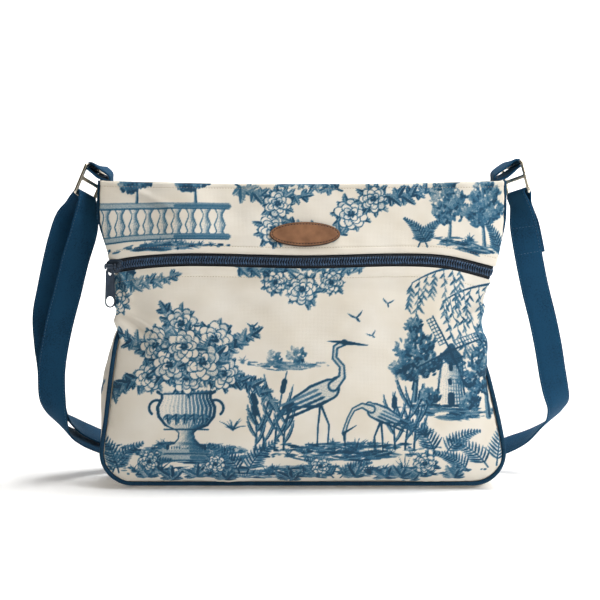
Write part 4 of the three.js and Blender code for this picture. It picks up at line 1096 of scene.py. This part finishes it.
def spun_thread(name, dark, light, roughness, sheen, stain=None):
    """Twisted sewing thread, mottled along its length; over the print it takes up the stain's colour."""
    material, tree = finish(name)
    spot = node(tree, "TexCoord", {}, out="Object")
    twist = node(tree, "TexNoise", {"Vector": spot, "Scale": 1 / (TWIST * MM), "Detail": 2.0})
    colour = node(tree, "ValToRGB", {"Fac": twist}, {0.3: dark, 0.7: light})
    if stain:
        printed = node(tree, "Attribute", {}, out="Fac", attribute_name="ink")
        colour = node(tree, "Mix", {0: printed, 6: colour, 7: stain}, out=2, data_type="RGBA")
    yarn = node(tree, "BsdfPrincipled", {"Base Color": colour, "Roughness": roughness, "Sheen Weight": sheen})
    node(tree, "OutputMaterial", {"Surface": yarn})
    return material


def stitches(name, lines, length, width, material, pitch):
    """A mesh of lock stitches along lines, each given as its path and outward normals."""
    places = np.concatenate([paced(path, out, pitch, pitch / 2) for path, out in lines])
    places[:, 1] *= length / 2
    places[:, 2] *= width / 2
    places[:, 3] *= 0.8 * width / 2
    stamp = bmesh.new()
    bmesh.ops.create_icosphere(stamp, subdivisions=1, radius=1.0)
    return joined(name, stamp, places, material)


def grid_row(panel, edge, line):
    """A row of a panel at a distance from its top or base, its normals and the print under each stitch."""
    points, normals, tones, rise = panel
    row = np.interp(line if edge == "base" else rise[-1] - line, rise, np.arange(len(rise)))
    low, share = int(row), row - int(row)
    inner = slice(LINE_ENDS, -LINE_ENDS)
    path = (points[low] + share * (points[low + 1] - points[low]))[inner]
    run = run_along(path)
    at = np.arange(STITCH_PITCH / 2, run[-1], STITCH_PITCH)
    return path, normals[low][inner], np.interp(at, run, tones[low][inner])


cotton_thread = spun_thread("cotton_thread", "#9c8d73", "#c2b59b", 0.7, 0.2, stain="#1b3f58")
canvas_lines = [grid_row(*line) for line in (
    (lower_panel, "top", ZIP_STITCH), (upper_panel, "base", BAND_STITCH),
    (upper_panel, "top", HEM_STITCH), (rear_panel, "top", HEM_STITCH))]
canvas_stitches = stitches(
    "canvas_stitches", [line[:2] for line in canvas_lines], STITCH_LENGTH, THREAD, cotton_thread,
    STITCH_PITCH)
stitch_tones = np.concatenate([line[2] for line in canvas_lines])
stains = np.repeat(stitch_tones, len(canvas_stitches.data.vertices) // len(stitch_tones))
canvas_stitches.data.attributes.new("ink", "FLOAT", "POINT").data.foreach_set("value", stains)
hand_over(canvas_stitches)

# Leather patch: an oval of smooth tanned leather with a dark cut edge, sewn on with brown thread. It is
# blank, and it follows the curve of the band that it lies on.
PATCH_X, PATCH_Z, PATCH_WIDTH, PATCH_HEIGHT, PATCH_THICK = 1.8, 230.0, 63.0, 21.5, 2.6
PATCH_LIFT = 0.6
PATCH_STITCH = 2.0  # in from the cut edge
STITCH_DIP, STITCH_STAND = 0.35, 0.3  # how far the stitch line sinks in and its thread stands up in that
WAXED_LENGTH, WAXED_THREAD, WAXED_PITCH = 1.8, 1.0, 2.7
CUT_START, CUT_FADE = 0.93, 0.05  # shares of the way out at which the dark of the cut edge begins and deepens
PORE, TAN_CLOUD = 1.3, 9
leather, tree = finish("tanned_leather")
spot = node(tree, "TexCoord", {}, out="Object")
pores = node(tree, "TexVoronoi", {"Vector": spot, "Scale": 1 / (PORE * MM)})
cloud = node(tree, "TexNoise", {"Vector": spot, "Scale": 1 / (TAN_CLOUD * MM), "Detail": 4.0})
tan = node(tree, "ValToRGB", {"Fac": cloud}, {0.3: "#6f4a30", 0.7: "#8c6243"})
edge = node(tree, "Attribute", {}, out="Fac", attribute_name="cut_edge")
colour = node(tree, "Mix", {0: edge, 6: tan, 7: "#2e1d13"}, out=2, data_type="RGBA")
relief = node(tree, "Bump", {"Height": pores, "Strength": 0.25, "Distance": 0.2 * MM})
hide = node(tree, "BsdfPrincipled", {
    "Base Color": colour, "Roughness": 0.55, "Normal": relief, "Specular IOR Level": 0.4})
node(tree, "OutputMaterial", {"Surface": hide})


def upper_at(x, z):
    """A point of the upper front by its place across and its height, with its outward normal."""
    shares = np.linspace(-0.5, 0.5, 201)
    t = np.interp(x, front_cloth(shares, PATCH_Z + 0 * shares)[:, 0], shares)
    small = 1e-3
    along = front_cloth(t + small, z) - front_cloth(t - small, z)
    rise = front_cloth(t, z + 1) - front_cloth(t, z - 1)
    return front_cloth(t, z), unit(np.cross(along, rise))


edge_share = 1 - PATCH_STITCH / (PATCH_HEIGHT / 2)
groove = [(edge_share + away, PATCH_THICK - dip) for away, dip in (
    (-0.045, 0), (-0.015, STITCH_DIP), (0.015, STITCH_DIP), (0.045, 0))]
half_section = [  # share of the way out from the middle, and height
    (0, PATCH_THICK), (0.45, PATCH_THICK), (0.7, PATCH_THICK), *groove, (0.945, PATCH_THICK),
    (0.98, PATCH_THICK - 0.2), (1.0, PATCH_THICK - 0.6), (1.0, 0.3), (0.985, 0), (0, 0)]
bm = bmesh.new()
line = [bm.verts.new((across, 0, height)) for across, height in half_section]
edges = [bm.edges.new(pair) for pair in zip(line[:-1], line[1:])]
bmesh.ops.spin(bm, geom=line + edges, axis=(0, 0, 1), angle=2 * math.pi, steps=120, use_merge=True)
bmesh.ops.remove_doubles(bm, verts=bm.verts, dist=1e-5)
bmesh.ops.recalc_face_normals(bm, faces=bm.faces)
flat_spots = np.array([vert.co[:] for vert in bm.verts])
from_middle = np.hypot(flat_spots[:, 0], flat_spots[:, 1])
half_length = PATCH_WIDTH / 2 - (1 - from_middle) * PATCH_HEIGHT / 2
patch_x = PATCH_X + flat_spots[:, 0] / np.maximum(from_middle, 1e-6) * half_length
place, out = upper_at(patch_x, PATCH_Z + flat_spots[:, 1] * PATCH_HEIGHT / 2)
place = place + (PATCH_LIFT + flat_spots[:, 2:]) * out
for vert, spot in zip(bm.verts, place):
    vert.co = spot * MM
patch = add_piece("patch", bm, leather)
cut = np.clip((from_middle - CUT_START) / CUT_FADE, 0, 1)
patch.data.attributes.new("cut_edge", "FLOAT", "POINT").data.foreach_set("value", cut)
hand_over(patch, "leather_patch")
waxed_thread = spun_thread("waxed_thread", "#1d110a", "#362214", 0.6, 0.0)
turn = np.linspace(0, 2 * math.pi, 400)
stitch_x = PATCH_X + (PATCH_WIDTH / 2 - PATCH_STITCH) * np.cos(turn)
place, out = upper_at(stitch_x, PATCH_Z + (PATCH_HEIGHT / 2 - PATCH_STITCH) * np.sin(turn))
oval_line = (place + (PATCH_LIFT + PATCH_THICK - STITCH_DIP + STITCH_STAND) * out, out)
patch_stitches = stitches(
    "patch_stitches", [oval_line], WAXED_LENGTH, WAXED_THREAD, waxed_thread, WAXED_PITCH)
hand_over(patch_stitches)

# Zipper slider: a cast body in satin dark enamel, with two plates that close over the teeth and a bridge on
# its face that the pull hangs from.
SLIDER_X, SLIDER_Z, SLIDER_LENGTH, SLIDER_HEIGHT, SLIDER_THICK = -169.2, 201.8, 14.4, 13.0, 3.0
SLIDER_TILT = math.radians(5)
SLIDER_FACE, SLIDER_REAR, SLIDER_WEDGE = 1.5, 1.1, 1.4  # its plates and the wedge between them
SLIDER_OUTLINE = (
    (-0.5, -0.3), (-0.36, -0.44), (-0.2, -0.5), (0.3, -0.45), (0.5, -0.34),
    (0.5, 0.34), (0.3, 0.45), (-0.2, 0.5), (-0.36, 0.44), (-0.5, 0.3))
WEDGE_OUTLINE = ((-6.6, -2.6), (-1, -1.2), (1.5, 0), (-1, 1.2), (-6.6, 2.6))
BRIDGE_X, BRIDGE_Z, BRIDGE_SPAN, BRIDGE_LEG, BRIDGE_RADIUS, BRIDGE_REACH = -173.0, 201.5, 9.6, 1.4, 0.9, 4.2
LEG_EXTRA, LEG_SUNK = 0.3, 0.3  # thicker outwards than the CAD's, and set into the face plate
SLIDER_SEAT = 1.6  # in front of the piping
BOSS_X, BOSS_Z, BOSS_RADIUS, BOSS_CROWN, BOSS_DEPTH, BOSS_ROUND = -165.4, 203.2, 2.7, 2.3, 2.0, 0.8
SQUARE, CRISP = 1.2, math.radians(32)  # edges to round over, and edges that stay crisp
ORANGE_PEEL, WEAR = 1.5, 8
gunmetal, tree = finish("satin_gunmetal")
spot = node(tree, "TexCoord", {}, out="Object")
orange_peel = node(tree, "TexNoise", {"Vector": spot, "Scale": 1 / (ORANGE_PEEL * MM), "Detail": 3.0})
wear = node(tree, "TexNoise", {"Vector": spot, "Scale": 1 / (WEAR * MM), "Detail": 4.0})
colour = node(tree, "ValToRGB", {"Fac": wear}, {0.3: "#27323f", 0.7: "#3b495a"})
gloss = node(tree, "MapRange", {"Value": orange_peel, "To Min": 0.32, "To Max": 0.5})
relief = node(tree, "Bump", {"Height": orange_peel, "Strength": 0.08, "Distance": 0.2 * MM})
enamel = node(tree, "BsdfPrincipled", {
    "Base Color": colour, "Metallic": 0.55, "Roughness": gloss, "Normal": relief,
    "Coat Weight": 0.2, "Coat Roughness": 0.25})
node(tree, "OutputMaterial", {"Surface": enamel})


def plate(outline, holes, thickness, rounding):
    """A flat plate with holes, lying in XY with its middle at z = 0 and its rims rounded over."""
    bm = bmesh.new()
    rims = []
    for loop in [outline] + holes:
        verts = [bm.verts.new((x, y, -thickness / 2)) for x, y in loop]
        rims += [bm.edges.new((verts[k - 1], verts[k])) for k in range(len(verts))]
    bmesh.ops.triangle_fill(bm, use_beauty=True, edges=rims)
    raised = bmesh.ops.extrude_face_region(bm, geom=bm.faces[:])["geom"]
    top = [vert for vert in raised if isinstance(vert, bmesh.types.BMVert)]
    bmesh.ops.translate(bm, verts=top, vec=(0, 0, thickness))
    bmesh.ops.recalc_face_normals(bm, faces=bm.faces)
    level = [edge for edge in bm.edges if abs(edge.verts[0].co.z - edge.verts[1].co.z) < 1e-6]
    sharp = [edge for edge in level if edge.calc_face_angle(0) > SQUARE]
    bmesh.ops.bevel(bm, geom=sharp, offset=rounding, offset_type="OFFSET", segments=3, profile=0.5,
                    affect="EDGES", material=-1)
    return bm


def oval(x, y, width, height, count=28):
    turns = [2 * math.pi * k / count for k in range(count)]
    return [(x + width / 2 * math.cos(a), y + height / 2 * math.sin(a)) for a in turns]


def set_in(bm, middle, right, up, out):
    """Turns a bmesh drawn in XY into place: its x, y and z run right, up and out."""
    turn = Matrix((right, up, out)).transposed().to_4x4()
    bmesh.ops.transform(bm, matrix=Matrix.Scale(MM, 4) @ Matrix.Translation(middle) @ turn, verts=bm.verts)
    return bm


def add_metal(name, shapes, material):
    """One piece of one or more placed shapes, smooth on its rounded rims and crisp between flat faces."""
    whole = bmesh.new()
    for shape in shapes:
        loose = bpy.data.meshes.new("loose")
        shape.to_mesh(loose)
        shape.free()
        whole.from_mesh(loose)
        bpy.data.meshes.remove(loose)
    piece = add_piece(name, whole, material)
    piece.data.set_sharp_from_angle(angle=CRISP)
    return piece


slider_back = float(seam_front(SLIDER_Z)) - PIPING_RADIUS - SLIDER_SEAT
slider_front = slider_back - SLIDER_THICK
bridge = (BRIDGE_X, slider_front - BRIDGE_REACH, BRIDGE_Z)
tilt_x, tilt_z = math.cos(SLIDER_TILT), math.sin(SLIDER_TILT)
tilted = (Vector((tilt_x, 0, tilt_z)), Vector((-tilt_z, 0, tilt_x)), Vector((0, -1, 0)))
hung = (Vector((1, 0, 0)), Vector((0, 0, 1)), Vector((0, -1, 0)))
sideways = (Vector((0, 0, 1)), Vector((0, -1, 0)), Vector((1, 0, 0)))
body = [(SLIDER_LENGTH * a, SLIDER_HEIGHT * b) for a, b in SLIDER_OUTLINE]
shapes = []
for outline, y, thickness, rounding in (
        (body, slider_front + SLIDER_FACE / 2, SLIDER_FACE, 0.5),
        ([(0.96 * x, 0.94 * y) for x, y in body], slider_back - 0.5, SLIDER_REAR, 0.35),
        (WEDGE_OUTLINE, (slider_front + slider_back) / 2 + 0.2, SLIDER_WEDGE, 0.2)):
    shapes.append(set_in(plate(outline, [], thickness, rounding), (SLIDER_X, y, SLIDER_Z), *tilted))
leg_length = BRIDGE_REACH + BRIDGE_RADIUS + 0.6
leg_top = leg_length / 2
leg_outline = [(-2.8, -leg_top), (2.8, -leg_top), (2.4, leg_top - 2), (1.5, leg_top - 0.5), (0.5, leg_top),
               (-0.5, leg_top), (-1.5, leg_top - 0.5), (-2.4, leg_top - 2)]
for side in (-1, 1):
    leg_x = BRIDGE_X + side * (BRIDGE_SPAN - BRIDGE_LEG + LEG_EXTRA) / 2
    leg = plate(leg_outline, [], BRIDGE_LEG + LEG_EXTRA, 0.5)
    shapes.append(set_in(leg, (leg_x, slider_front + LEG_SUNK - leg_length / 2, BRIDGE_Z), *sideways))
bar = bmesh.new()
bmesh.ops.create_cone(bar, cap_ends=True, segments=20, radius1=BRIDGE_RADIUS, radius2=BRIDGE_RADIUS,
                      depth=BRIDGE_SPAN - BRIDGE_LEG)
shapes.append(set_in(bar, bridge, *sideways))
boss = bmesh.new()
bmesh.ops.create_cone(boss, cap_ends=True, segments=32, radius1=BOSS_RADIUS, radius2=BOSS_CROWN,
                      depth=BOSS_DEPTH)
crown = [edge for edge in boss.edges if min(vert.co.z for vert in edge.verts) > 0.9]
bmesh.ops.bevel(boss, geom=crown, offset=BOSS_ROUND, offset_type="OFFSET", segments=4, profile=0.5,
                affect="EDGES", material=-1)
shapes.append(set_in(boss, (BOSS_X, slider_front - 0.6, BOSS_Z), *tilted))
hand_over(add_metal("slider", shapes, gunmetal), "zipper_slider")

# Zipper pull: a stamped plate in the same dark finish, with a raised rim, an oval eye at its foot and a slot
# below the knuckle that turns on the slider's bridge.
PULL_LENGTH, PULL_TOP, PULL_FOOT, PULL_THICK = 39.2, 7.5, 9.4, 1.6
KNUCKLE_RADIUS, KNUCKLE_BORE, KNUCKLE_WIDTH, KNUCKLE_ROUND = 2.3, 1.3, 5.0, 0.4
EYE_WIDTH, EYE_HEIGHT, EYE_MARGIN = 6.9, 9.0, 1.3
SLOT_WIDTH, SLOT_HEIGHT, SHOULDER = 2.6, 4.6, -3.2
RIM, RIM_SLOPE, RECESS = 0.55, 0.15, 0.35
low = KNUCKLE_RADIUS - PULL_LENGTH
foot = PULL_FOOT / 2
outline = [(-foot, low + foot)]
round_foot = np.linspace(math.pi, 2 * math.pi, 25)[1:-1]
outline += [(foot * math.cos(a), low + foot + foot * math.sin(a)) for a in round_foot]
outline += [(foot, low + foot), (PULL_TOP / 2, -4.6), (PULL_TOP / 2 - 0.5, SHOULDER),
            (KNUCKLE_WIDTH / 2, -1.6)]
outline += [(-x, y) for x, y in reversed(outline[-3:])]
eye = oval(0, low + EYE_MARGIN + EYE_HEIGHT / 2, EYE_WIDTH, EYE_HEIGHT)
slot = oval(0, SHOULDER - SLOT_HEIGHT / 2, SLOT_WIDTH, SLOT_HEIGHT)
tag = plate(outline, [eye, slot], PULL_THICK, 0.3)
for side in (1, -1):
    level = [face for face in tag.faces if face.normal.z * side > 0.99]
    faces = [face for face in level if abs(face.calc_center_median().z - side * PULL_THICK / 2) < 0.05]
    bmesh.ops.inset_region(tag, faces=faces, thickness=RIM, depth=0, use_even_offset=True)
    faces = [face for face in faces if face.is_valid]
    bmesh.ops.inset_region(tag, faces=faces, thickness=RIM_SLOPE, depth=-RECESS, use_even_offset=True)
half, rounded = KNUCKLE_WIDTH / 2, KNUCKLE_RADIUS - KNUCKLE_ROUND
section = [(KNUCKLE_BORE, -half), (rounded, -half), (KNUCKLE_RADIUS, KNUCKLE_ROUND - half),
           (KNUCKLE_RADIUS, half - KNUCKLE_ROUND), (rounded, half), (KNUCKLE_BORE, half)]
roll = bmesh.new()
ring = [roll.verts.new((radius, 0, along)) for radius, along in section]
edges = [roll.edges.new((ring[k - 1], ring[k])) for k in range(len(ring))]
bmesh.ops.spin(roll, geom=ring + edges, axis=(0, 0, 1), angle=2 * math.pi, steps=28, use_merge=True)
bmesh.ops.recalc_face_normals(roll, faces=roll.faces)
shapes = [set_in(tag, bridge, *hung), set_in(roll, bridge, *sideways)]
hand_over(add_metal("pull_tag", shapes, gunmetal), "zipper_pull", body="pull")

# Rings: stamped three-bar frames in polished nickel plate. The tab goes round the top bar and the strap round
# the bottom bar; a plain one of the same kind, behind the bag, sets the strap's length.
RING_WIDTH, RING_TOP, RING_BOTTOM, RING_BAR, RING_THICK = 33.4, 13.0, -14.5, 3.5, 2.4
SLIDE_REACH, SLIDE_BAR = 13.0, 2.4
HAZE, SCUFF = 4, 0.9
nickel, tree = finish("polished_nickel")
spot = node(tree, "TexCoord", {}, out="Object")
haze = node(tree, "TexNoise", {"Vector": spot, "Scale": 1 / (HAZE * MM), "Detail": 4.0})
colour = node(tree, "ValToRGB", {"Fac": haze}, {0.3: "#c9c0ae", 0.7: "#e2dccf"})
gloss = node(tree, "MapRange", {"Value": haze, "To Min": 0.12, "To Max": 0.26})
scuffs = node(tree, "TexNoise", {"Vector": spot, "Scale": 1 / (SCUFF * MM), "Detail": 2.0})
relief = node(tree, "Bump", {"Height": scuffs, "Strength": 0.03, "Distance": 0.1 * MM})
plating = node(tree, "BsdfPrincipled", {
    "Base Color": colour, "Metallic": 1.0, "Roughness": gloss, "Normal": relief})
node(tree, "OutputMaterial", {"Surface": plating})


def round_corners(width, bottom, top, radius):
    """A rectangle with round corners."""
    points = []
    for x, y, start in ((1, -1, -90), (1, 1, 0), (-1, 1, 90), (-1, -1, 180)):
        middle = (x * (width / 2 - radius), (top if y > 0 else bottom) - y * radius)
        for k in range(7):
            angle = math.radians(start + 15 * k)
            points.append((middle[0] + radius * math.cos(angle), middle[1] + radius * math.sin(angle)))
    return points


def ring_axes(centre, across, up):
    """A ring's middle, the ways across it and up it, and its normal towards the front."""
    across = Vector(across).normalized()
    up = Vector(up)
    up = (up - up.dot(across) * across).normalized()
    normal = across.cross(up)
    return Vector(centre), across, up, (-normal if normal.y > 0 else normal)


def three_bar(name, axes, top, bottom, bar, stands_for):
    """A frame with a middle bar, the heights of its outer bars measured from that."""
    middle, across, up, _ = axes
    window = RING_WIDTH - 2 * bar
    gaps = ((bar / 2, top - bar / 2), (bottom + bar / 2, -bar / 2))
    holes = [round_corners(window, low, high, 1.0) for low, high in gaps]
    outline = round_corners(RING_WIDTH, bottom - bar / 2, top + bar / 2, bar)
    shape = set_in(plate(outline, holes, RING_THICK, 0.36 * RING_THICK), middle, across, up, across.cross(up))
    hand_over(add_metal(name, [shape], nickel), stands_for)


left_axes = ring_axes((-194.7, -0.5, 276.6), (-0.45, -0.86, 0.33), (0.27, 0, 0.93))
right_axes = ring_axes((194.3, 0, 279.6), (0.506, -0.849, 0.22), (-0.16, 0, 0.99))
slide_axes = (Vector((-40, 75, 8)), Vector((0, 1, 0)), Vector((1, 0, 0)), Vector((0, 0, -1)))
three_bar("left_ring", left_axes, RING_TOP, RING_BOTTOM, RING_BAR, "ring_left")
three_bar("right_ring", right_axes, RING_TOP, RING_BOTTOM, RING_BAR, "ring_right")
three_bar("slide", slide_axes, SLIDE_REACH, -SLIDE_REACH, SLIDE_BAR, "strap_adjuster")

# Strap: one inch of navy cotton twill tape, doubled and edge-stitched. It is sewn round the right ring, lies
# on the floor behind the bag, goes through the slide and hangs doubled from the left ring.
STRAP_WIDTH, STRAP_THICK = 25.4, 1.8
WRAP_RADIUS, SLIDE_WRAP = 3.7, 3.1
EDGE_STITCH = 1.5  # in from the edge of a tape
NAVY_LENGTH, NAVY_THREAD, NAVY_PITCH = 2.2, 0.5, 3.0
STRAP_TWIST, TAB_TWIST = 16.0, 4.0  # the length to both sides over which a tape spreads each twist
STRAP_STEP, TAB_STEP = 2.0, 1.0  # between the sections of a tape
BOX_STITCHES = (212.6, 236.0)  # heights of the lines that hold the sewn tail
STRAP_REAR = (  # middle of the tape and the way across it, from the slide up to the left ring
    (-53, 75, 14.2, 0, 1, 0), (-68, 75, 10, 0, 1, 0), (-110, 75, 7, 0, 1, 0), (-138, 75, 11, 0, 1, 0.08),
    (-168, 72, 21, -0.1, 0.96, 0.25), (-192, 62, 32.5, -0.25, 0.85, 0.45), (-211, 45, 44.5, -0.4, 0.72, 0.57),
    (-224, 29, 57, -0.55, 0.72, 0.42), (-231, 15, 71, -0.85, 0.5, 0.15), (-233, 9, 85, -1, 0.12, -0.05),
    (-233.6, 8, 105, -1, 0.05, -0.1), (-236.4, 9, 126.5, -1, 0, -0.06), (-237.8, 10, 153, -0.99, 0, 0.1),
    (-233.6, 10, 176.5, -0.98, 0, 0.2), (-228.5, 9, 200, -0.97, 0, 0.22),
    (-222.5, 8, 224, -0.95, -0.25, 0.15), (-215.5, 6.5, 246, -0.8, -0.55, 0.2),
    (-209, 4, 255, -0.6, -0.75, 0.3))
STRAP_FRONT = (  # from the left ring down, round behind the bag and up to the right ring
    (-197.6, -4.6, 253, -0.6, -0.76, 0.25), (-200, -5, 233.5, -0.95, -0.28, 0.15),
    (-208.3, -5, 206, -0.97, 0, 0.24), (-215.4, -5, 177.5, -0.97, 0, 0.24),
    (-222.5, -5, 151, -0.97, 0.02, 0.22), (-227.7, -4, 128, -0.98, 0.03, 0.18),
    (-231.2, -3, 104, -1, 0.05, 0.05), (-231.2, -2, 80, -1, 0.08, -0.02), (-229, 5, 64, -0.86, 0.48, 0.16),
    (-224, 18, 48, -0.58, 0.66, 0.48), (-212, 36, 36, -0.45, 0.72, 0.53),
    (-194.5, 53, 25, -0.3, 0.85, 0.42), (-171, 66, 13.5, -0.15, 0.96, 0.25),
    (-140, 73, 6.5, -0.05, 0.99, 0.08), (-110, 75, 3.4, 0, 1, 0), (-68, 75, 6.2, 0, 1, 0),
    (-53, 75, 11.2, 0, 1, 0), (-40, 75, 2.2, 0, 1, 0), (-27, 75, 11.2, 0, 1, 0), (-12, 75, 5, 0, 1, 0),
    (12, 75, 1.5, 0, 1, 0), (60, 75, 1.3, 0, 1, 0), (105, 75, 2, 0, 1, 0), (138, 72, 6.5, 0, 0.99, 0.12),
    (170, 66, 15, 0.05, 0.93, 0.36), (197, 58, 26, 0.1, 0.86, 0.5), (214.5, 49, 35.5, 0.2, 0.9, 0.37),
    (228.5, 37, 48.5, 0.35, 0.93, 0.1), (236, 22, 60.5, 0.5, 0.86, 0.07), (237, 8, 72.5, 0.82, 0.56, 0.12),
    (233, 0, 86.5, 0.98, 0.18, 0.1), (229.6, -3, 102, 0.99, 0.05, 0.13), (225.2, -5, 127, 0.98, 0, 0.17),
    (219.7, -5, 152.5, 0.97, 0, 0.22), (213.2, -5, 178, 0.98, 0, 0.2),
    (207.3, -5, 205.5, 0.98, -0.05, 0.18), (202.2, -5, 233, 0.97, -0.25, 0.1),
    (198, -5, 256, 0.58, -0.8, 0.18))
STRAP_TAIL = (  # the sewn tail behind the right end
    (200.5, -0.5, 256, 0.58, -0.8, 0.18), (205, -1.8, 233, 0.97, -0.25, 0.1),
    (209.5, -1.6, 211, 0.98, -0.05, 0.18))


def round_bar(axes, height, start, over, radius):
    """Stations of tape round a bar, from one side of it to the other."""
    middle, across, up, _ = axes
    stations = []
    for k in range(5):
        angle = math.pi * k / 4
        spot = middle + height * up + radius * (math.cos(angle) * start + math.sin(angle) * over)
        stations.append((*spot, *across))
    return stations


def smooth_path(stations, pitch, twist):
    """A centripetal curve through stations, at even steps, and the way across at each, eased over twist."""
    stations = np.array(stations, float)
    spots, ways = stations[:, :3], stations[:, 3:]
    padded = np.vstack([2 * spots[0] - spots[1], spots, 2 * spots[-1] - spots[-2]])
    gaps = np.sqrt(np.linalg.norm(np.diff(padded, axis=0), axis=1))[:, None]
    s = np.linspace(0, 1, 40, endpoint=False)[:, None]
    dense, across = [], []
    for k in range(len(spots) - 1):
        p0, p1, p2, p3 = padded[k:k + 4]
        d0, d1, d2 = gaps[k:k + 3]
        first = d1 * ((p1 - p0) / d0 - (p2 - p0) / (d0 + d1) + (p2 - p1) / d1)
        last = d1 * ((p2 - p1) / d1 - (p3 - p1) / (d1 + d2) + (p3 - p2) / d2)
        square, cube = 3 * (p2 - p1) - 2 * first - last, 2 * (p1 - p2) + first + last
        dense.append(p1 + first * s + square * s ** 2 + cube * s ** 3)
        across.append(ways[k] + (ways[k + 1] - ways[k]) * (s * s * (3 - 2 * s)))
    dense = np.vstack(dense + [spots[-1:]])
    across = np.vstack(across + [ways[-1:]])
    run = run_along(dense)
    at = np.linspace(0, run[-1], int(run[-1] / pitch) + 1)
    reach = int(twist / pitch)
    ease = np.hanning(2 * reach + 3)[1:-1]
    across = np.pad(unit(read_along(across, run, at)), ((reach, reach), (0, 0)), mode="edge")
    eased = [np.convolve(across[:, k], ease / ease.sum(), "valid") for k in range(3)]
    return read_along(dense, run, at), np.stack(eased, -1)


def tape_section(width, thickness):
    """Half the section of a doubled tape, with a dip along each edge stitch, then the other half."""
    half, thick = width / 2, thickness / 2
    face = [(half, 0.35 * thick), (half - 0.35, 0.85 * thick), (half - 1.0, thick),
            (half - EDGE_STITCH, 0.72 * thick), (half - 2.1, thick), (0.45 * half, 0.97 * thick)]
    face += [(-a, b) for a, b in reversed(face)]
    return face + [(a, -b) for a, b in reversed(face)]


def tape_stitches(name, path, across, width, thickness, crosses=()):
    """Edge stitching on both faces of a tape, with lines across it at the steps given."""
    tangent = unit(np.gradient(path, axis=0))
    across = square_to(across, tangent)
    up = np.cross(tangent, across)
    lines = []
    for face in (-1, 1):
        sunk = 0.36 * thickness * face * up
        lines += [(path + side * (width / 2 - EDGE_STITCH) * across + sunk, face * up) for side in (-1, 1)]
        for k in crosses:
            share = np.linspace(-1, 1, 30)[:, None]
            row = path[k] + share * (width / 2 - 2) * across[k] + 0.44 * thickness * face * up[k]
            lines.append((row, np.broadcast_to(face * up[k], row.shape)))
    hand_over(stitches(name, lines, NAVY_LENGTH, NAVY_THREAD, navy_thread, NAVY_PITCH))


strap_twill = navy_cotton("strap_twill", "#082236", "#143f5c", 62)
navy_thread = spun_thread("navy_thread", "#1a3b55", "#345d7c", 0.65, 0.2)
slide_turn = round_bar(slide_axes, 0, Vector((0, 0, -1)), slide_axes[2], SLIDE_WRAP)
left_turn = round_bar(left_axes, RING_BOTTOM, -left_axes[3], left_axes[2], WRAP_RADIUS)
right_turn = round_bar(right_axes, RING_BOTTOM, right_axes[3], right_axes[2], WRAP_RADIUS)
stations = [*slide_turn, *STRAP_REAR, *left_turn, *STRAP_FRONT, *right_turn, *STRAP_TAIL]
path, across = smooth_path(stations, STRAP_STEP, STRAP_TWIST)
strap_tape = sweep("strap_tape", path, across, tape_section(STRAP_WIDTH, STRAP_THICK), strap_twill)
hand_over(strap_tape, "strap")
run_along(path)[-1] * MM
rising = [k for k in range(len(path)) if path[k, 0] > 150 and path[k, 1] < -3]  # up to the right ring
crosses = [min(rising, key=lambda k: abs(path[k, 2] - height)) for height in BOX_STITCHES]
tape_stitches("strap_stitches", path, across, STRAP_WIDTH, STRAP_THICK, crosses)

# Tabs: short loops of the same tape, narrower, sewn in at the top of the gusset and passed over the rings'
# top bars. Their front edges hang outwards and down.
TAB_WIDTH, TAB_SEWN, TAB_GAP = 20.0, 14.0, 0.4
TAB_LEAN = (0.08, -0.98, -0.19)  # way across a loop at its top
top = float(top_line(GUSSET_TOP))
layer = STRAP_THICK + TAB_GAP
for name, side, axes, half, bow in (
        ("left", -1, left_axes, half_left, bow_left), ("right", 1, right_axes, half_right, bow_right)):
    inside = float(half(top)) - PIPING_RADIUS + float(bow(top)) - 2 - TAB_GAP - STRAP_THICK / 2
    lean = Vector((side * TAB_LEAN[0], *TAB_LEAN[1:]))
    at = lambda x, z, turn: (side * x, 0, z, *Vector((0, -1, 0)).lerp(lean, turn))
    stations = [at(inside - layer, top - TAB_SEWN, 0), at(inside - layer, top + 1, 0.5),
                at(inside - layer + 0.6, top + 5.5, 1), at(inside + 5.5, top + 11.5, 1),
                *round_bar(axes, RING_TOP, axes[2], -axes[3], WRAP_RADIUS),
                at(inside + 8, top + 4, 1), at(inside + 2.4, top + 1.9, 0.8), at(inside, top + 0.3, 0.3),
                at(inside, top - TAB_SEWN, 0)]
    path, across = smooth_path(stations, TAB_STEP, TAB_TWIST)
    tab = sweep(name + "_tab", path, across, tape_section(TAB_WIDTH, STRAP_THICK), strap_twill)
    hand_over(tab, "tab_" + name)
    run_along(path)[-1] * MM
    tape_stitches(name + "_tab_stitches", path, across, TAB_WIDTH, STRAP_THICK)
